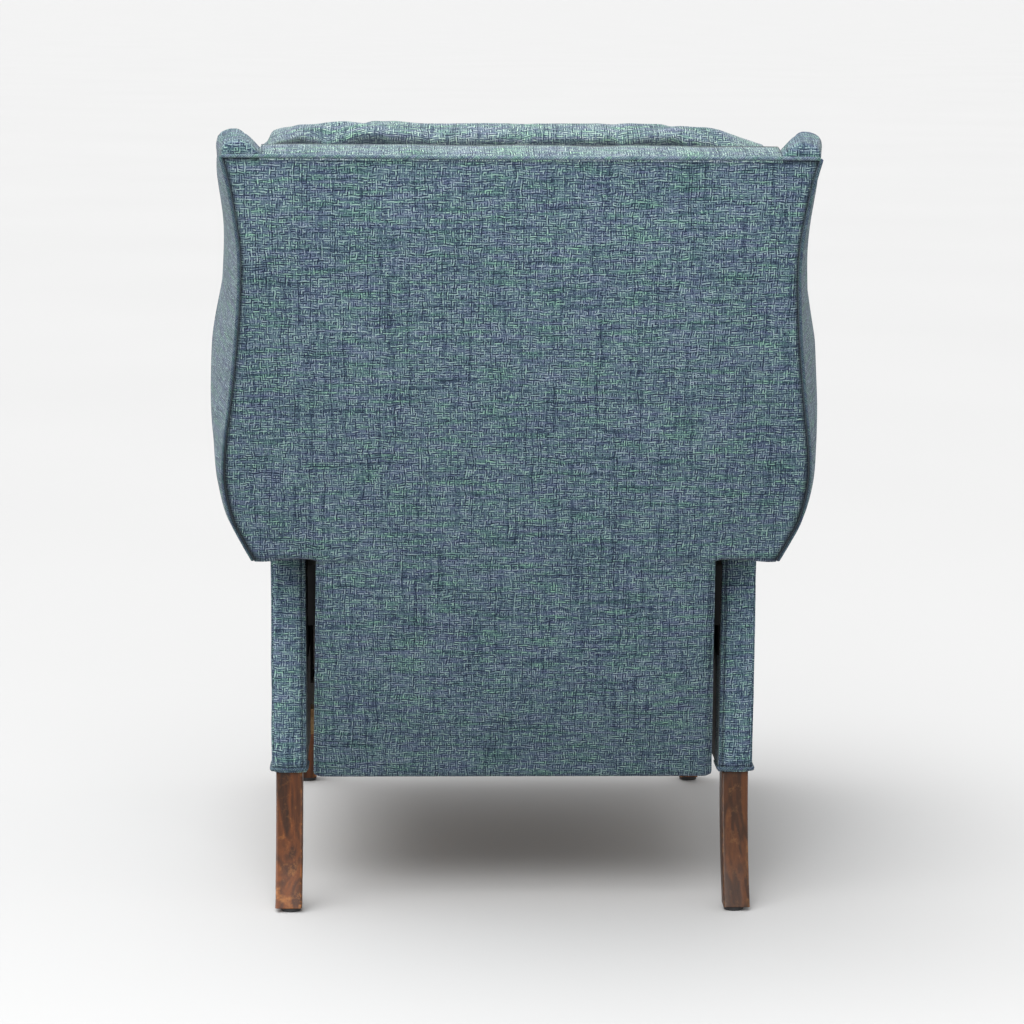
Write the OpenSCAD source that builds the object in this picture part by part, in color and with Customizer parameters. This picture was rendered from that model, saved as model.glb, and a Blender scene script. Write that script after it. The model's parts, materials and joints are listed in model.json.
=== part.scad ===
// High-leg wing recliner: push-back armchair with a tilting winged back, a seat that swings
// forward as the back goes down, and a footrest on a lazy-tongs linkage.
// Millimetres. +Z is up, the sitter faces -Y, and the origin is on the floor below the middle.

/* [Body] */
// Width outside the two arm posts
base_w = 682; // [660:1:720]
// Front of the arms and of the seat cushion, measured from the middle
front_depth = 445; // [430:1:460]
// Height of the underside of the arms, which is the height of the legs
leg_h = 190; // [180:1:200]
// Height of the centre of the arm rolls
roll_z = 572; // [565:1:580]
// Radius of the arm rolls
roll_r = 58; // [52:1:60]

/* [Back] */
// Lean of the back when upright, in degrees
rake = 11; // [9:1:12]
// Length of the outside back, along its slope
back_l = 900; // [880:1:920]
// Half width of the lower, narrow part of the outside back
tail_half_w = 283; // [278:1:284]
// Height along the slope at which the back widens over the arm posts
shoulder = 330; // [325:1:335]
// How far the wings spread outwards for each millimetre forwards, below head height
flare = 0.215; // [0.18:0.005:0.25]
// Thickness of the padded wings
wing_t = 50; // [44:1:52]

/* [Seat] */
// Height of the top of the seat cushion
seat_h = 510; // [500:1:520]
// Half width of the seat cushion and of the footrest
seat_half_w = 272; // [268:1:274]

/* [Mechanism] */
// Length of the swing links between their pins
swing_l = 150; // [145:1:155]
// Length of a lazy-tongs link between its end pins
tong_l = 160; // [155:1:160]
// Angle of the folded tongs to their line of travel, in degrees
tong_closed = 83; // [82:0.5:84]
// Angle of the open tongs to their line of travel, in degrees
tong_open = 7; // [7:0.5:9]
// Rise of the line along which the footrest travels, in degrees
travel_rise = 8; // [6:1:9]
// Width of a lazy-tongs link
link_w = 16; // [15:0.5:16]

/* [Hidden] */
$fn = 48;
teal = "cadetblue";
trim = "darkslategray";
walnut = "saddlebrown";
pine = "burlywood";
zinc = "silver";
black = [0.08, 0.08, 0.08];
gap = 0.06;              // radial running clearance of a pin in its hole
joint = 0.1;             // hairline between the timbers of a frame

// Arms, from the inner wooden face outwards
arm_in = 294;
arm_out = base_w / 2;
frame_out = 324;
pad_in = 280;            // padded inner face, above the mechanism
post_rear = 268;         // rear face of the padded posts
post_wood_y = [222, 262];
front_post_y = [15 - front_depth, 55 - front_depth];
bottom_rail_z = [leg_h + 4, leg_h + 54];
seat_rail_z = [345, 405];
top_rail_z = [roll_z - 42, roll_z - 2];
roll_x = 344;

// Foot of the outside back's rear face, and the stack of layers in front of it
foot_y = 273.3;
foot_z = 183.5;
panel_t = 14;
frame_u = [-48, -16];
spring_u = -49.5;
pad_u = [-74, -56];
cushion_u = [-215, -76];

// Heights in the seat
rail_bottom = 310;
frame_top = 384;
deck_top = 396;
cushion_bottom = 397;
seat_front = -395;
seat_rear = 215;
cushion_rear = 98;
frame_half_w = 259;

// Mechanism layers along X, on the right-hand side
plate_x = [290, 294];    // plate screwed to the arm
swing_x = [284.5, 288.5];// swing link and back bracket
rail_x = [274, 278];     // seat rail
outer_x = [269, 273];    // outer tongs
inner_x = [264, 268];    // inner tongs

// Pivots as [y, z]
back_pivot = [225, 465];
swing_pivot = [-190, 385];
drop = [-swing_l * sin(rake), -swing_l * cos(rake)];
seat_rear_pin = back_pivot + drop;
seat_front_pin = swing_pivot + drop;
tong_pivot = [-322, 362];
pin_r = 4;
stud_r = 6;
tube_r = 8;

// Lazy tongs: unit vectors along and across the line of travel, and the folded links
along = [-cos(travel_rise), sin(travel_rise)];
across = [sin(travel_rise), cos(travel_rise)];
dir_a = cos(tong_closed) * along - sin(tong_closed) * across;
dir_b = cos(tong_closed) * along + sin(tong_closed) * across;
pitch = tong_l * cos(tong_closed) * along;
half_a = tong_l / 2 * dir_a;
half_b = tong_l / 2 * dir_b;
mid_1 = tong_pivot + half_a;
end_1 = tong_pivot + 2 * half_a;
top_1 = mid_1 + half_b;
slide_1 = mid_1 - half_b;
mid_2 = mid_1 + pitch;
end_2 = end_1 + pitch;
top_2 = top_1 + pitch;
mid_3 = mid_2 + pitch;
slot_near = tong_l * sin(tong_open);
slot_far = tong_l * sin(tong_closed);

// Footrest, folded
board_back = -400;
board_t = 12;
board_z = [205, 376];
rest_pad_z = [200, 380];

// Outline of the wide part of the outside back as [half width, height along the slope]
wide_outline = [[358, 329], [373, 360], [387, 392], [396, 440], [396, 490], [387, 575],
    [377, 680], [374, 765], [379, 838], [388, 878], [400, back_l]];
// Depth of the wings as [height along the slope, depth]
wing_depth = [[329, 62], [400, 62], [445, 66], [475, 98], [520, 160], [575, 196], [640, 205],
    [710, 194], [780, 180], [835, 165], [872, 136], [892, 106], [918, 88]];
// Outline of the back cushion as [half width, height along the slope]
cushion_outline = [[262, 215], [268, 235], [268, 425], [274, 448], [312, 468], [324, 490],
    [328, 600], [325, 720], [327, 820], [328, 884], [316, 902], [250, 907]];

// ---------- helpers ----------

// One point of the smooth curve that passes through a, b, c and d, between b and c
function curve_point(a, b, c, d, t) = 0.5 * (2 * b + (c - a) * t
    + (2 * a - 5 * b + 4 * c - d) * t * t + (3 * b - a - 3 * c + d) * t * t * t);
function smooth(p, n) = [for (i = [0:len(p) - 2]) for (s = [0:n - 1])
    curve_point(p[max(i - 1, 0)], p[i], p[i + 1], p[min(i + 2, len(p) - 1)], s / n), p[len(p) - 1]];
function flip(p) = [for (i = [len(p) - 1:-1:0]) [-p[i][0], p[i][1]]];
function arc(c, r, from, to, n) = [for (i = [0:n])
    c + r * [cos(from + (to - from) * i / n), sin(from + (to - from) * i / n)]];

module mirrored() {
    mirror([1, 0, 0]) children();
}
module both_sides() {
    children();
    mirrored() children();
}
// Places children given as [x, towards the rear, up the slope] on the leaning back
module on_back() {
    translate([0, foot_y, foot_z]) rotate([-rake, 0, 0]) children();
}
// Box from its lowest to its highest corner
module box(lo, hi) {
    translate(lo) cube(hi - lo);
}
// Extrudes a flat shape drawn as [x, z] from y = from to y = to
module sheet_xz(from, to) {
    translate([0, to, 0]) rotate([90, 0, 0]) linear_extrude(to - from) children();
}
// Extrudes a flat shape drawn as [y, z] from x = from to x = to
module sheet_yz(x) {
    translate([x[0], 0, 0]) rotate([90, 0, 90]) linear_extrude(x[1] - x[0]) children();
}
// Cylinder along X through the point [y, z]
module rod(at, r, x) {
    translate([x[0], at[0], at[1]]) rotate([0, 90, 0]) cylinder(r = r, h = x[1] - x[0]);
}
// Flat bar from a to b, of width w between round ends of diameter eye
module bar(a, b, w, eye) {
    d = b - a;
    l = norm(d);
    translate(a) rotate(atan2(d[1], d[0])) translate([0, -w / 2]) square([l, w]);
    translate(a) circle(eye / 2);
    translate(b) circle(eye / 2);
}
module holes(points, r) {
    for (p = points) translate(p) circle(r);
}

// ---------- arms and base ----------

bolt_points = [[-150, 376], [0, 376], [120, 376], [242, 410], [242, 490]];
bolt_r = 3;
leg_x = 314;
front_leg_y = 27 - front_depth;
rear_leg_y = 246;
rear_leg_x = [298.5, 336];
hanger_r = 4;
hanger_up = 45;
hanger_down = 40;

module arm_frame_outline() {
    module rail(z) {
        translate([front_post_y[1] + joint, z[0]])
            square([post_wood_y[0] - front_post_y[1] - 2 * joint, z[1] - z[0]]);
    }
    difference() {
        union() {
            for (y = [front_post_y, post_wood_y])
                translate([y[0], bottom_rail_z[0]])
                    square([y[1] - y[0], top_rail_z[1] - bottom_rail_z[0]]);
            rail(bottom_rail_z);
            rail(seat_rail_z);
            rail(top_rail_z);
        }
        holes(bolt_points, bolt_r + gap);
    }
}
module right_arm_frame() {
    color(pine) difference() {
        sheet_yz([arm_in, frame_out]) arm_frame_outline();
        for (y = [front_leg_y, rear_leg_y])
            translate([leg_x, y, leg_h]) cylinder(r = hanger_r + gap, h = hanger_up);
    }
}
module right_outside_arm_panel() {
    color(teal) box([frame_out, 15 - front_depth, leg_h], [arm_out, post_wood_y[1], roll_z - 59]);
}
module right_inside_arm_panel() {
    color(teal) box([pad_in, 15 - front_depth, 408], [arm_in, 138, roll_z - 32]);
}
module roll_outline(r) {
    translate([roll_x, roll_z]) circle(r);
}
module right_arm_roll() {
    color(teal) sheet_xz(15 - front_depth, post_rear) difference() {
        roll_outline(roll_r);
        translate([arm_in, roll_z - roll_r - 1])
            square([frame_out - arm_in, top_rail_z[1] - roll_z + roll_r + 1]);
    }
}
module right_arm_front_panel() {
    color(teal) sheet_xz(-front_depth, 15 - front_depth) union() {
        roll_outline(roll_r + 2);
        polygon([[281, leg_h], [343, leg_h], [346, roll_z], [281, roll_z]]);
    }
}
module right_rear_post_cover() {
    color(teal) box([arm_in, post_wood_y[1], leg_h], [arm_out, post_rear, roll_z - 59]);
}
// Square leg that tapers towards the floor on all four sides
module front_right_leg() {
    top = 22;
    foot = 15;
    color(walnut) difference() {
        translate([leg_x, front_leg_y, 0]) intersection() {
            sheet_xz(-top, top)
                polygon([[-foot, 6], [foot, 6], [top, leg_h], [-top, leg_h]]);
            sheet_yz([-top, top])
                polygon([[-foot, 6], [foot, 6], [top, leg_h], [-top, leg_h]]);
        }
        translate([leg_x, front_leg_y, leg_h - hanger_down])
            cylinder(r = hanger_r + gap, h = hanger_down + 1);
    }
}
// Square leg that sweeps to the rear towards the floor
module rear_right_leg() {
    front_edge = smooth([[226, leg_h], [235, 132], [257, 66], [290, 6]], 6);
    rear_edge = smooth([[322, 6], [292, 66], [273, 132], [266, leg_h]], 6);
    color(walnut) difference() {
        sheet_yz(rear_leg_x) polygon(concat(front_edge, rear_edge));
        translate([leg_x, rear_leg_y, leg_h - hanger_down])
            cylinder(r = hanger_r + gap, h = hanger_down + 1);
    }
}
module leg_glides() {
    color(black) both_sides() for (y = [front_leg_y, 306])
        translate([leg_x, y, 0]) cylinder(r = 14, h = 6);
}
module leg_hanger_bolts() {
    color(zinc) both_sides() for (y = [front_leg_y, rear_leg_y])
        translate([leg_x, y, leg_h - hanger_down])
            cylinder(r = hanger_r, h = hanger_down + hanger_up - 1);
}
module cross_rail(y) {
    color(pine) box([-arm_in, y, leg_h + 6], [arm_in, y + 32, leg_h + 44]);
}
module front_cross_rail() {
    cross_rail(-160);
}
module rear_cross_rail() {
    cross_rail(35);
}
// Steel plate on the arm, with the studs that the back and the swing links turn on
module right_mechanism_plate() {
    stud_end = swing_x[0] - 2;
    color(zinc) union() {
        sheet_yz(plate_x) difference() {
            union() {
                translate([-210, 356]) square([465, 40]);
                translate([198, 356]) square([57, 132]);
                translate(swing_pivot) circle(18);
                translate([242, 488]) circle(13);
            }
            holes(bolt_points, bolt_r + gap);
        }
        for (p = [back_pivot, swing_pivot]) {
            rod(p, stud_r, [stud_end, plate_x[0]]);
            rod(p, stud_r + 3, [stud_end, swing_x[0] - 0.5]);
        }
    }
}
module mechanism_bolts() {
    color(zinc) both_sides() for (p = bolt_points) union() {
        rod(p, bolt_r, [plate_x[0], frame_out - 2]);
        rod(p, bolt_r * 2, [plate_x[0] - 1.3, plate_x[0]]);
    }
}

// ---------- back ----------

panel_corner = 8;
band_half_w = 330;
stile_x = [240, 270];
bracket_bolts = [[-36, 240], [-36, 300]];   // [towards the rear, up the slope]

function panel_side() = concat(
    arc([tail_half_w - panel_corner, panel_corner], panel_corner, -90, 0, 4),
    arc([tail_half_w + 3, shoulder - 10], 10, 180, 90, 4),
    smooth(wide_outline, 4));

module outside_back_panel() {
    color(teal) on_back() union() {
        sheet_xz(-panel_t, 0) polygon(concat(panel_side(), flip(panel_side())));
        both_sides() box([271, pad_u[0], 12], [276, 1 - panel_t, 215]);
    }
}
module back_frame() {
    stile_top = 846;
    color(pine) on_back() difference() {
        union() {
            both_sides() box([stile_x[0], frame_u[0], 12],
                [stile_x[1], frame_u[1], stile_top - joint]);
            both_sides() box([stile_x[1] + joint, frame_u[0], shoulder + 3],
                [340, frame_u[1], shoulder + 43]);
            for (w = [12, shoulder + 3])
                box([joint - stile_x[0], frame_u[0], w], [stile_x[0] - joint, frame_u[1], w + 40]);
            box([-354, frame_u[0], stile_top], [354, frame_u[1], 886]);
        }
        both_sides() for (p = bracket_bolts)
            rod(p, bolt_r + gap, [stile_x[0] - 1, stile_x[1] + 1]);
    }
}
lobe_w = 60;
lobe_top = 918;

// Half width of the outside back and depth of the wing at a height w along the slope
function half_at(w) = lookup(w, [for (p = smooth(wide_outline, 4)) [p[1], p[0]]]);
function depth_at(w) = lookup(w, smooth(wing_depth, 4));

// Spread of the wing at a height w: it stands straighter above the bulge
function flare_at(w) = lookup(w, [[600, flare], [680, flare - 0.04]]);

// Rounding of the lobe in which the wing ends above the back, at a height w along the slope
function top_inset(w) = lookup(w, [[891, 0], [900, 2], [908, 6], [914, 12], [lobe_top, 20]]);

// One level cut through the right wing: outer face, round nose, inner face and boxing strip
function wing_loop(w) =
    let (t = top_inset(w), lobe = w > 889, h = half_at(w) - t, d = depth_at(w) - t,
        spread = flare_at(w), nose = min(wing_t / 2 - 3, (d - 54) / 2),
        x_nose = h + spread * (d - nose) - nose,
        strip = lobe ? h + 2 * t - lobe_w : h - 12,
        inside = lobe ? strip : h + spread * 56 - wing_t)
    concat([[strip, -15 - t], [h + 1, -15 - t]],
        [for (i = [0:8]) [x_nose + nose * cos(i * 22.5), -(d - nose) - nose * sin(i * 22.5)]],
        [[min(x_nose - nose, inside), -56], [strip, -54.5]]);
module wing_solid() {
    levels = concat([for (i = [0:37]) 330 + i * 15], [888, 891, 900, 908, 914, lobe_top]);
    loops = [for (w = levels) [for (p = wing_loop(w)) [p[0], p[1], w]]];
    n = len(loops[0]);
    m = len(loops);
    polyhedron(
        points = [for (l = loops) for (p = l) p],
        faces = concat(
            [[for (j = [0:n - 1]) j]],
            [for (i = [0:m - 2]) for (j = [0:n - 1]) let (k = (j + 1) % n)
                [i * n + j, (i + 1) * n + j, (i + 1) * n + k, i * n + k]],
            [[for (j = [n - 1:-1:0]) (m - 1) * n + j]]),
        convexity = 4);
}
// Flat board that stiffens the wing, spread outwards like the wing
module wing_board() {
    outline = smooth([[-66, 500], [-86, 500], [-140, 548], [-168, 620], [-160, 700], [-140, 790],
        [-100, 850], [-66, 858]], 4);
    on_back() translate([366, -56, 0]) rotate([0, 0, atan(flare)]) translate([0, 56, 0])
        sheet_yz([0, 12]) polygon(outline);
}
module right_wing() {
    color(teal) difference() {
        on_back() wing_solid();
        wing_board();
    }
}
module back_top_band() {
    color(teal) on_back() box([-band_half_w, -75, 887], [band_half_w, -panel_t, back_l]);
}
// Flat zigzag wire along the second axis of the plane it is drawn in
module zigzag(from, to, swing, step, wire) {
    n = round((to - from) / step) * 8;
    centre = [for (i = [0:n]) [swing * sin(i * 45), from + (to - from) * i / n]];
    lean = [for (i = [0:n]) let (d = centre[min(i + 1, n)] - centre[max(i - 1, 0)])
        [-d[1], d[0]] / norm(d)];
    polygon(concat([for (i = [0:n]) centre[i] + lean[i] * wire / 2],
        [for (i = [n:-1:0]) centre[i] - lean[i] * wire / 2]));
}
module back_springs() {
    color(zinc) on_back() for (x = [-165, -55, 55, 165])
        translate([x, 0, 0]) sheet_xz(spring_u - 3.5, spring_u) zigzag(345, 872, 22, 48, 3.5);
}
module back_lining() {
    color(black) on_back() box([-268, pad_u[0], 14], [268, pad_u[1], 880]);
}
module back_cushion() {
    side = smooth(cushion_outline, 4);
    color(teal) on_back() sheet_xz(cushion_u[0], cushion_u[1]) polygon(concat(side, flip(side)));
}
// Bracket on the back frame's stile: it turns on the arm and pushes the seat
module right_back_bracket() {
    head = rail_x[0] - 2.2;
    color(zinc) difference() {
        union() {
            sheet_yz(swing_x) difference() {
                union() {
                    bar(back_pivot, seat_rear_pin, 26, 28);
                    polygon([[225, 440], [290, 415], [302, 488], [225, 488]]);
                    translate(back_pivot) circle(24);
                }
                translate(back_pivot) circle(stud_r + gap);
            }
            on_back() box([stile_x[1], -46, 225], [swing_x[1], -22, 315]);
            rod(seat_rear_pin, stud_r, [head, swing_x[0]]);
            rod(seat_rear_pin, stud_r + 3, [head, rail_x[0] - 0.5]);
        }
        on_back() for (p = bracket_bolts) rod(p, bolt_r + gap, [stile_x[1] - 1, swing_x[1] + 1]);
        translate([plate_x[0] - 20, 0, 0]) rod(back_pivot, stud_r + gap, [12, 21]);
    }
}
module back_bracket_bolts() {
    color(zinc) on_back() both_sides() for (p = bracket_bolts) union() {
        rod(p, bolt_r, [stile_x[0] + 4, swing_x[1]]);
        rod(p, bolt_r * 2, [swing_x[1], swing_x[1] + 1.2]);
    }
}

// ---------- seat ----------

rail_bolts = [[-240, 332], [-60, 332], [120, 332]];
slot_w = 2 * pin_r + 0.7;

module front_swing_links() {
    head = rail_x[0] - 2.2;
    color(zinc) both_sides() union() {
        sheet_yz(swing_x) difference() {
            bar(swing_pivot, seat_front_pin, 22, 24);
            translate(swing_pivot) circle(stud_r + gap);
        }
        rod(seat_front_pin, stud_r, [head, swing_x[0]]);
        rod(seat_front_pin, stud_r + 3, [head, rail_x[0] - 0.5]);
    }
}
module seat_frame() {
    rail_t = 22;
    inner = frame_half_w - rail_t;
    color(pine) difference() {
        union() {
            both_sides() box([inner, seat_front, rail_bottom], [frame_half_w, seat_rear, frame_top]);
            for (y = [seat_front, seat_rear - rail_t])
                box([joint - inner, y, rail_bottom], [inner - joint, y + rail_t, frame_top]);
        }
        both_sides() rod(tong_pivot, tube_r + 2, [inner - 1, frame_half_w + 1]);
        both_sides() for (p = rail_bolts) rod(p, bolt_r + gap, [inner - 1, frame_half_w + 1]);
    }
}
module seat_springs() {
    color(zinc) for (x = [-180, -90, 0, 90, 180])
        translate([x, 0, frame_top - 6]) linear_extrude(3.5)
            zigzag(seat_front + 25, seat_rear - 25, 22, 48, 3.5);
}
module seat_deck() {
    color(trim) box([-frame_half_w, seat_front, frame_top], [frame_half_w, seat_rear, deck_top]);
}
module seat_dust_cover() {
    color(black) box([-frame_half_w, seat_front, rail_bottom - 1.5],
        [frame_half_w, seat_rear, rail_bottom]);
}
// Rectangle with round corners, from its lowest to its highest corner
module round_box(lo, hi, r) {
    translate([lo[0] + r, lo[1]]) square([hi[0] - lo[0] - 2 * r, hi[1] - lo[1]]);
    translate([lo[0], lo[1] + r]) square([hi[0] - lo[0], hi[1] - lo[1] - 2 * r]);
    for (x = [lo[0] + r, hi[0] - r]) for (z = [lo[1] + r, hi[1] - r]) translate([x, z]) circle(r);
}
module seat_cushion() {
    color(teal) sheet_xz(-front_depth, cushion_rear)
        round_box([-seat_half_w, cushion_bottom], [seat_half_w, seat_h], 18);
}
// Seat rail: hangs on the two swing pins and guides the tongs in a slot
module right_seat_rail() {
    color(zinc) sheet_yz(rail_x) difference() {
        union() {
            bar(seat_rear_pin, [150, 332], 26, 28);
            bar([150, 332], [-300, 340], 28, 30);
            bar([-215, 330], seat_front_pin, 26, 28);
            bar(tong_pivot, tong_pivot - (slot_far - 2) * across, 28, 30);
        }
        holes([seat_rear_pin, seat_front_pin], stud_r + gap);
        holes(rail_bolts, bolt_r + gap);
        translate(tong_pivot) circle(pin_r + gap);
        bar(tong_pivot - slot_near * across, tong_pivot - slot_far * across, slot_w, slot_w - 0.2);
    }
}
// Bolts with spacer tubes that hold the seat rails off the wooden frame
module seat_rail_bolts() {
    color(zinc) both_sides() for (p = rail_bolts) union() {
        rod(p, bolt_r, [frame_half_w - 18, rail_x[1]]);
        rod(p, bolt_r * 2, [frame_half_w, rail_x[0]]);
        rod(p, bolt_r * 2, [rail_x[1], rail_x[1] + 1.5]);
    }
}

// ---------- footrest ----------

head_r = 6.5;

// Link of the outer layer from a to b, with rivets inwards through the inner layer at pins
module outer_link(a, b, pins) {
    sheet_yz(outer_x) bar(a, b, link_w - 1, link_w);
    for (p = pins) {
        rod(p, pin_r, [inner_x[0] - 2, outer_x[0]]);
        rod(p, head_r, [inner_x[0] - 2, inner_x[0] - 0.5]);
    }
}
// Link of the inner layer from a to b, with rivet holes
module inner_link(a, b, bores) {
    sheet_yz(inner_x) difference() {
        bar(a, b, link_w - 1, link_w);
        holes(bores, pin_r + gap);
    }
}
// Rivet outwards through the seat rail
module rail_rivet(p, from) {
    rod(p, pin_r, [from, rail_x[1] + 1.6]);
    rod(p, head_r, [rail_x[1] + 0.4, rail_x[1] + 1.6]);
}
module outer_tongs_1() {
    color(zinc) both_sides() union() {
        outer_link(tong_pivot, end_1, [mid_1, end_1]);
        rail_rivet(tong_pivot, outer_x[1]);
    }
}
module torque_tube() {
    color(zinc) rod(tong_pivot, tube_r, [-outer_x[0], outer_x[0]]);
}
module inner_tongs_1() {
    color(zinc) both_sides() union() {
        inner_link(slide_1, top_1, [mid_1, top_1]);
        rail_rivet(slide_1, inner_x[1]);
    }
}
module outer_tongs_2() {
    color(zinc) both_sides() outer_link(top_1, end_2, [top_1, mid_2, end_2]);
}
module inner_tongs_2() {
    color(zinc) both_sides() inner_link(end_1, top_2, [end_1, mid_2, top_2]);
}
module inner_tongs_3() {
    color(zinc) both_sides() inner_link(end_2, mid_3, [end_2, mid_3]);
}
rest_screws = [[-252, 272], [-252, 342]];   // [x, z]

module footrest_brackets() {
    color(zinc) both_sides() difference() {
        union() {
            outer_link(top_2, mid_3, [top_2, mid_3]);
            sheet_yz(outer_x) polygon([top_2 + [0, 7], mid_3 + [0, -8], [board_back, 255],
                [board_back, 362]]);
            box([240, board_back, 255], [outer_x[1], board_back + 3, 362]);
        }
        for (s = rest_screws) translate([-s[0], board_back - 1, s[1]]) rotate([-90, 0, 0])
            cylinder(r = 2 + gap, h = 6);
    }
}
module footrest_board() {
    color(pine) difference() {
        box([-262, board_back - board_t, board_z[0]], [262, board_back, board_z[1]]);
        both_sides() for (s = rest_screws) translate([s[0], board_back - 10, s[1]])
            rotate([-90, 0, 0]) cylinder(r = 2 + gap, h = 12);
    }
}
module footrest_screws() {
    color(zinc) both_sides() for (s = rest_screws) translate([s[0], board_back, s[1]])
        rotate([-90, 0, 0]) union() {
            translate([0, 0, -9.5]) cylinder(r = 2, h = 12.6);
            translate([0, 0, 3]) cylinder(r = 4, h = 1.2);
        }
}
module footrest_pad() {
    color(teal) sheet_yz([-seat_half_w, seat_half_w]) difference() {
        round_box([-front_depth, rest_pad_z[0]], [board_back, rest_pad_z[1]], 14);
        translate([board_back - board_t, rest_pad_z[0] - 1]) square([board_t + 1, 200]);
    }
}

// ---------- nodes ----------

right_arm_frame();
mirrored() right_arm_frame();  // left_arm_frame
right_outside_arm_panel();
mirrored() right_outside_arm_panel();  // left_outside_arm_panel
right_inside_arm_panel();
mirrored() right_inside_arm_panel();  // left_inside_arm_panel
right_arm_roll();
mirrored() right_arm_roll();  // left_arm_roll
right_arm_front_panel();
mirrored() right_arm_front_panel();  // left_arm_front_panel
right_rear_post_cover();
mirrored() right_rear_post_cover();  // left_rear_post_cover
front_right_leg();
mirrored() front_right_leg();  // front_left_leg
rear_right_leg();
mirrored() rear_right_leg();  // rear_left_leg
leg_glides();
leg_hanger_bolts();
front_cross_rail();
rear_cross_rail();
right_mechanism_plate();
mirrored() right_mechanism_plate();  // left_mechanism_plate
mechanism_bolts();
back_frame();
outside_back_panel();
right_wing();
mirrored() right_wing();  // left_wing
color(pine) wing_board();  // right_wing_board
mirrored() color(pine) wing_board();  // left_wing_board
back_top_band();
back_springs();
back_lining();
back_cushion();
right_back_bracket();
mirrored() right_back_bracket();  // left_back_bracket
back_bracket_bolts();
front_swing_links();
seat_frame();
seat_springs();
seat_deck();
seat_dust_cover();
seat_cushion();
right_seat_rail();
mirrored() right_seat_rail();  // left_seat_rail
seat_rail_bolts();
outer_tongs_1();
torque_tube();
inner_tongs_1();
outer_tongs_2();
inner_tongs_2();
inner_tongs_3();
footrest_brackets();
footrest_board();
footrest_pad();
footrest_screws();
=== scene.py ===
import json
import math

import bmesh
import bpy
import numpy as np
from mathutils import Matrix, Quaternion, Vector
from mathutils.bvhtree import BVHTree


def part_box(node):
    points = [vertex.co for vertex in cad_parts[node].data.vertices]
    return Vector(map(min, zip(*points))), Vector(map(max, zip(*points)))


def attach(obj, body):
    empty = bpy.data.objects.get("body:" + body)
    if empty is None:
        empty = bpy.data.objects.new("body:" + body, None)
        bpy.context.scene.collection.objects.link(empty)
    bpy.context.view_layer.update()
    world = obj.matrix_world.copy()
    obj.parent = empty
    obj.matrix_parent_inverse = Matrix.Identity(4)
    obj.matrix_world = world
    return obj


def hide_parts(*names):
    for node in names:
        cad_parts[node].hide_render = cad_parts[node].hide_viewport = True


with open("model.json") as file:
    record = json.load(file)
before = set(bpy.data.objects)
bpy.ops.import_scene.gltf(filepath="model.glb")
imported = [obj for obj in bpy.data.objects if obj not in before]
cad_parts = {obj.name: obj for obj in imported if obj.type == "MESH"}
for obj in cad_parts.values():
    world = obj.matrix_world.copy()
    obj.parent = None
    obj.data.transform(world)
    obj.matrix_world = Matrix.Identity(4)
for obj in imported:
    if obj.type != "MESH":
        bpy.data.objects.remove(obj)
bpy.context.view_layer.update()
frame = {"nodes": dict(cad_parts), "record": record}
scene = bpy.context.scene
scene.view_settings.view_transform = "Standard"

# -------- frame of the leaning back
RAKE = math.radians(11)
PANEL_L = 0.900
panel_lo, panel_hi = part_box("outside_back_panel")
FOOT = (panel_hi.y - PANEL_L * math.sin(RAKE), panel_lo.z)
CR, SR = math.cos(RAKE), math.sin(RAKE)
SIDES = ((1, "R", "right"), (-1, "L", "left"))
UPH = "upholstery"


def back_pts(p):
    """Rows of (x, towards the rear, up the slope) to world metres."""
    p = np.asarray(p, float)
    x, u, w = p[..., 0], p[..., 1], p[..., 2]
    return np.stack([x, FOOT[0] + u * CR + w * SR, FOOT[1] - u * SR + w * CR], -1)


def back_local(v):
    """World metres back to (x, towards the rear, up the slope)."""
    v = np.asarray(v, float)
    y, z = v[..., 1] - FOOT[0], v[..., 2] - FOOT[1]
    return np.stack([v[..., 0], y * CR - z * SR, y * SR + z * CR], -1)


# outline of the wide part: height up the slope, half width
WIDE = [(0.329, 0.361), (0.360, 0.377), (0.392, 0.391), (0.440, 0.400), (0.490, 0.399),
        (0.575, 0.388), (0.680, 0.377), (0.765, 0.3735), (0.838, 0.382), (0.878, 0.3895),
        (0.900, 0.395), (0.918, 0.396)]
# side view of the wings: height up the slope, depth
DEPTH = [(0.329, 0.062), (0.400, 0.062), (0.445, 0.066), (0.475, 0.098), (0.520, 0.160),
         (0.575, 0.196), (0.640, 0.205), (0.710, 0.194), (0.780, 0.180), (0.835, 0.165),
         (0.872, 0.136), (0.892, 0.106), (0.918, 0.088)]
FLARE_AT = ((0.600, 0.680, 0.850, 0.900), (0.215, 0.175, 0.195, 0.155))
WING_T, WING_ROOT, LOBE_T = 0.050, 0.056, 0.062


def catmull(pts, n=8):
    """Smooth curve through the points, n steps between each two."""
    p = np.asarray(pts, float)
    out = []
    for i in range(len(p) - 1):
        a, b, c, d = p[max(i - 1, 0)], p[i], p[i + 1], p[min(i + 2, len(p) - 1)]
        for s in range(n):
            t = s / n
            out.append(0.5 * (2 * b + (c - a) * t + (2 * a - 5 * b + 4 * c - d) * t * t
                              + (3 * b - a - 3 * c + d) * t ** 3))
    out.append(p[-1])
    return np.array(out)


_wide, _depth = catmull(WIDE), catmull(DEPTH)


def half_at(w):
    return np.interp(w, _wide[:, 0], _wide[:, 1])


def flare_at(w):
    """How far the wing's outer face leans out for each metre forwards, at height w."""
    return np.interp(w, *FLARE_AT)


def depth_at(w):
    return np.interp(w, _depth[:, 0], _depth[:, 1])


def wing_inner(w, t=0.0):
    """Inner face of the wing where it meets the back; the lobe at the top rolls further inwards."""
    h = half_at(w) - t
    k = smoothstep(0.868, 0.895, w)
    return (h + flare_at(w) * WING_ROOT - WING_T) * (1 - k) + (h + 2 * t - LOBE_T) * k


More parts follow.
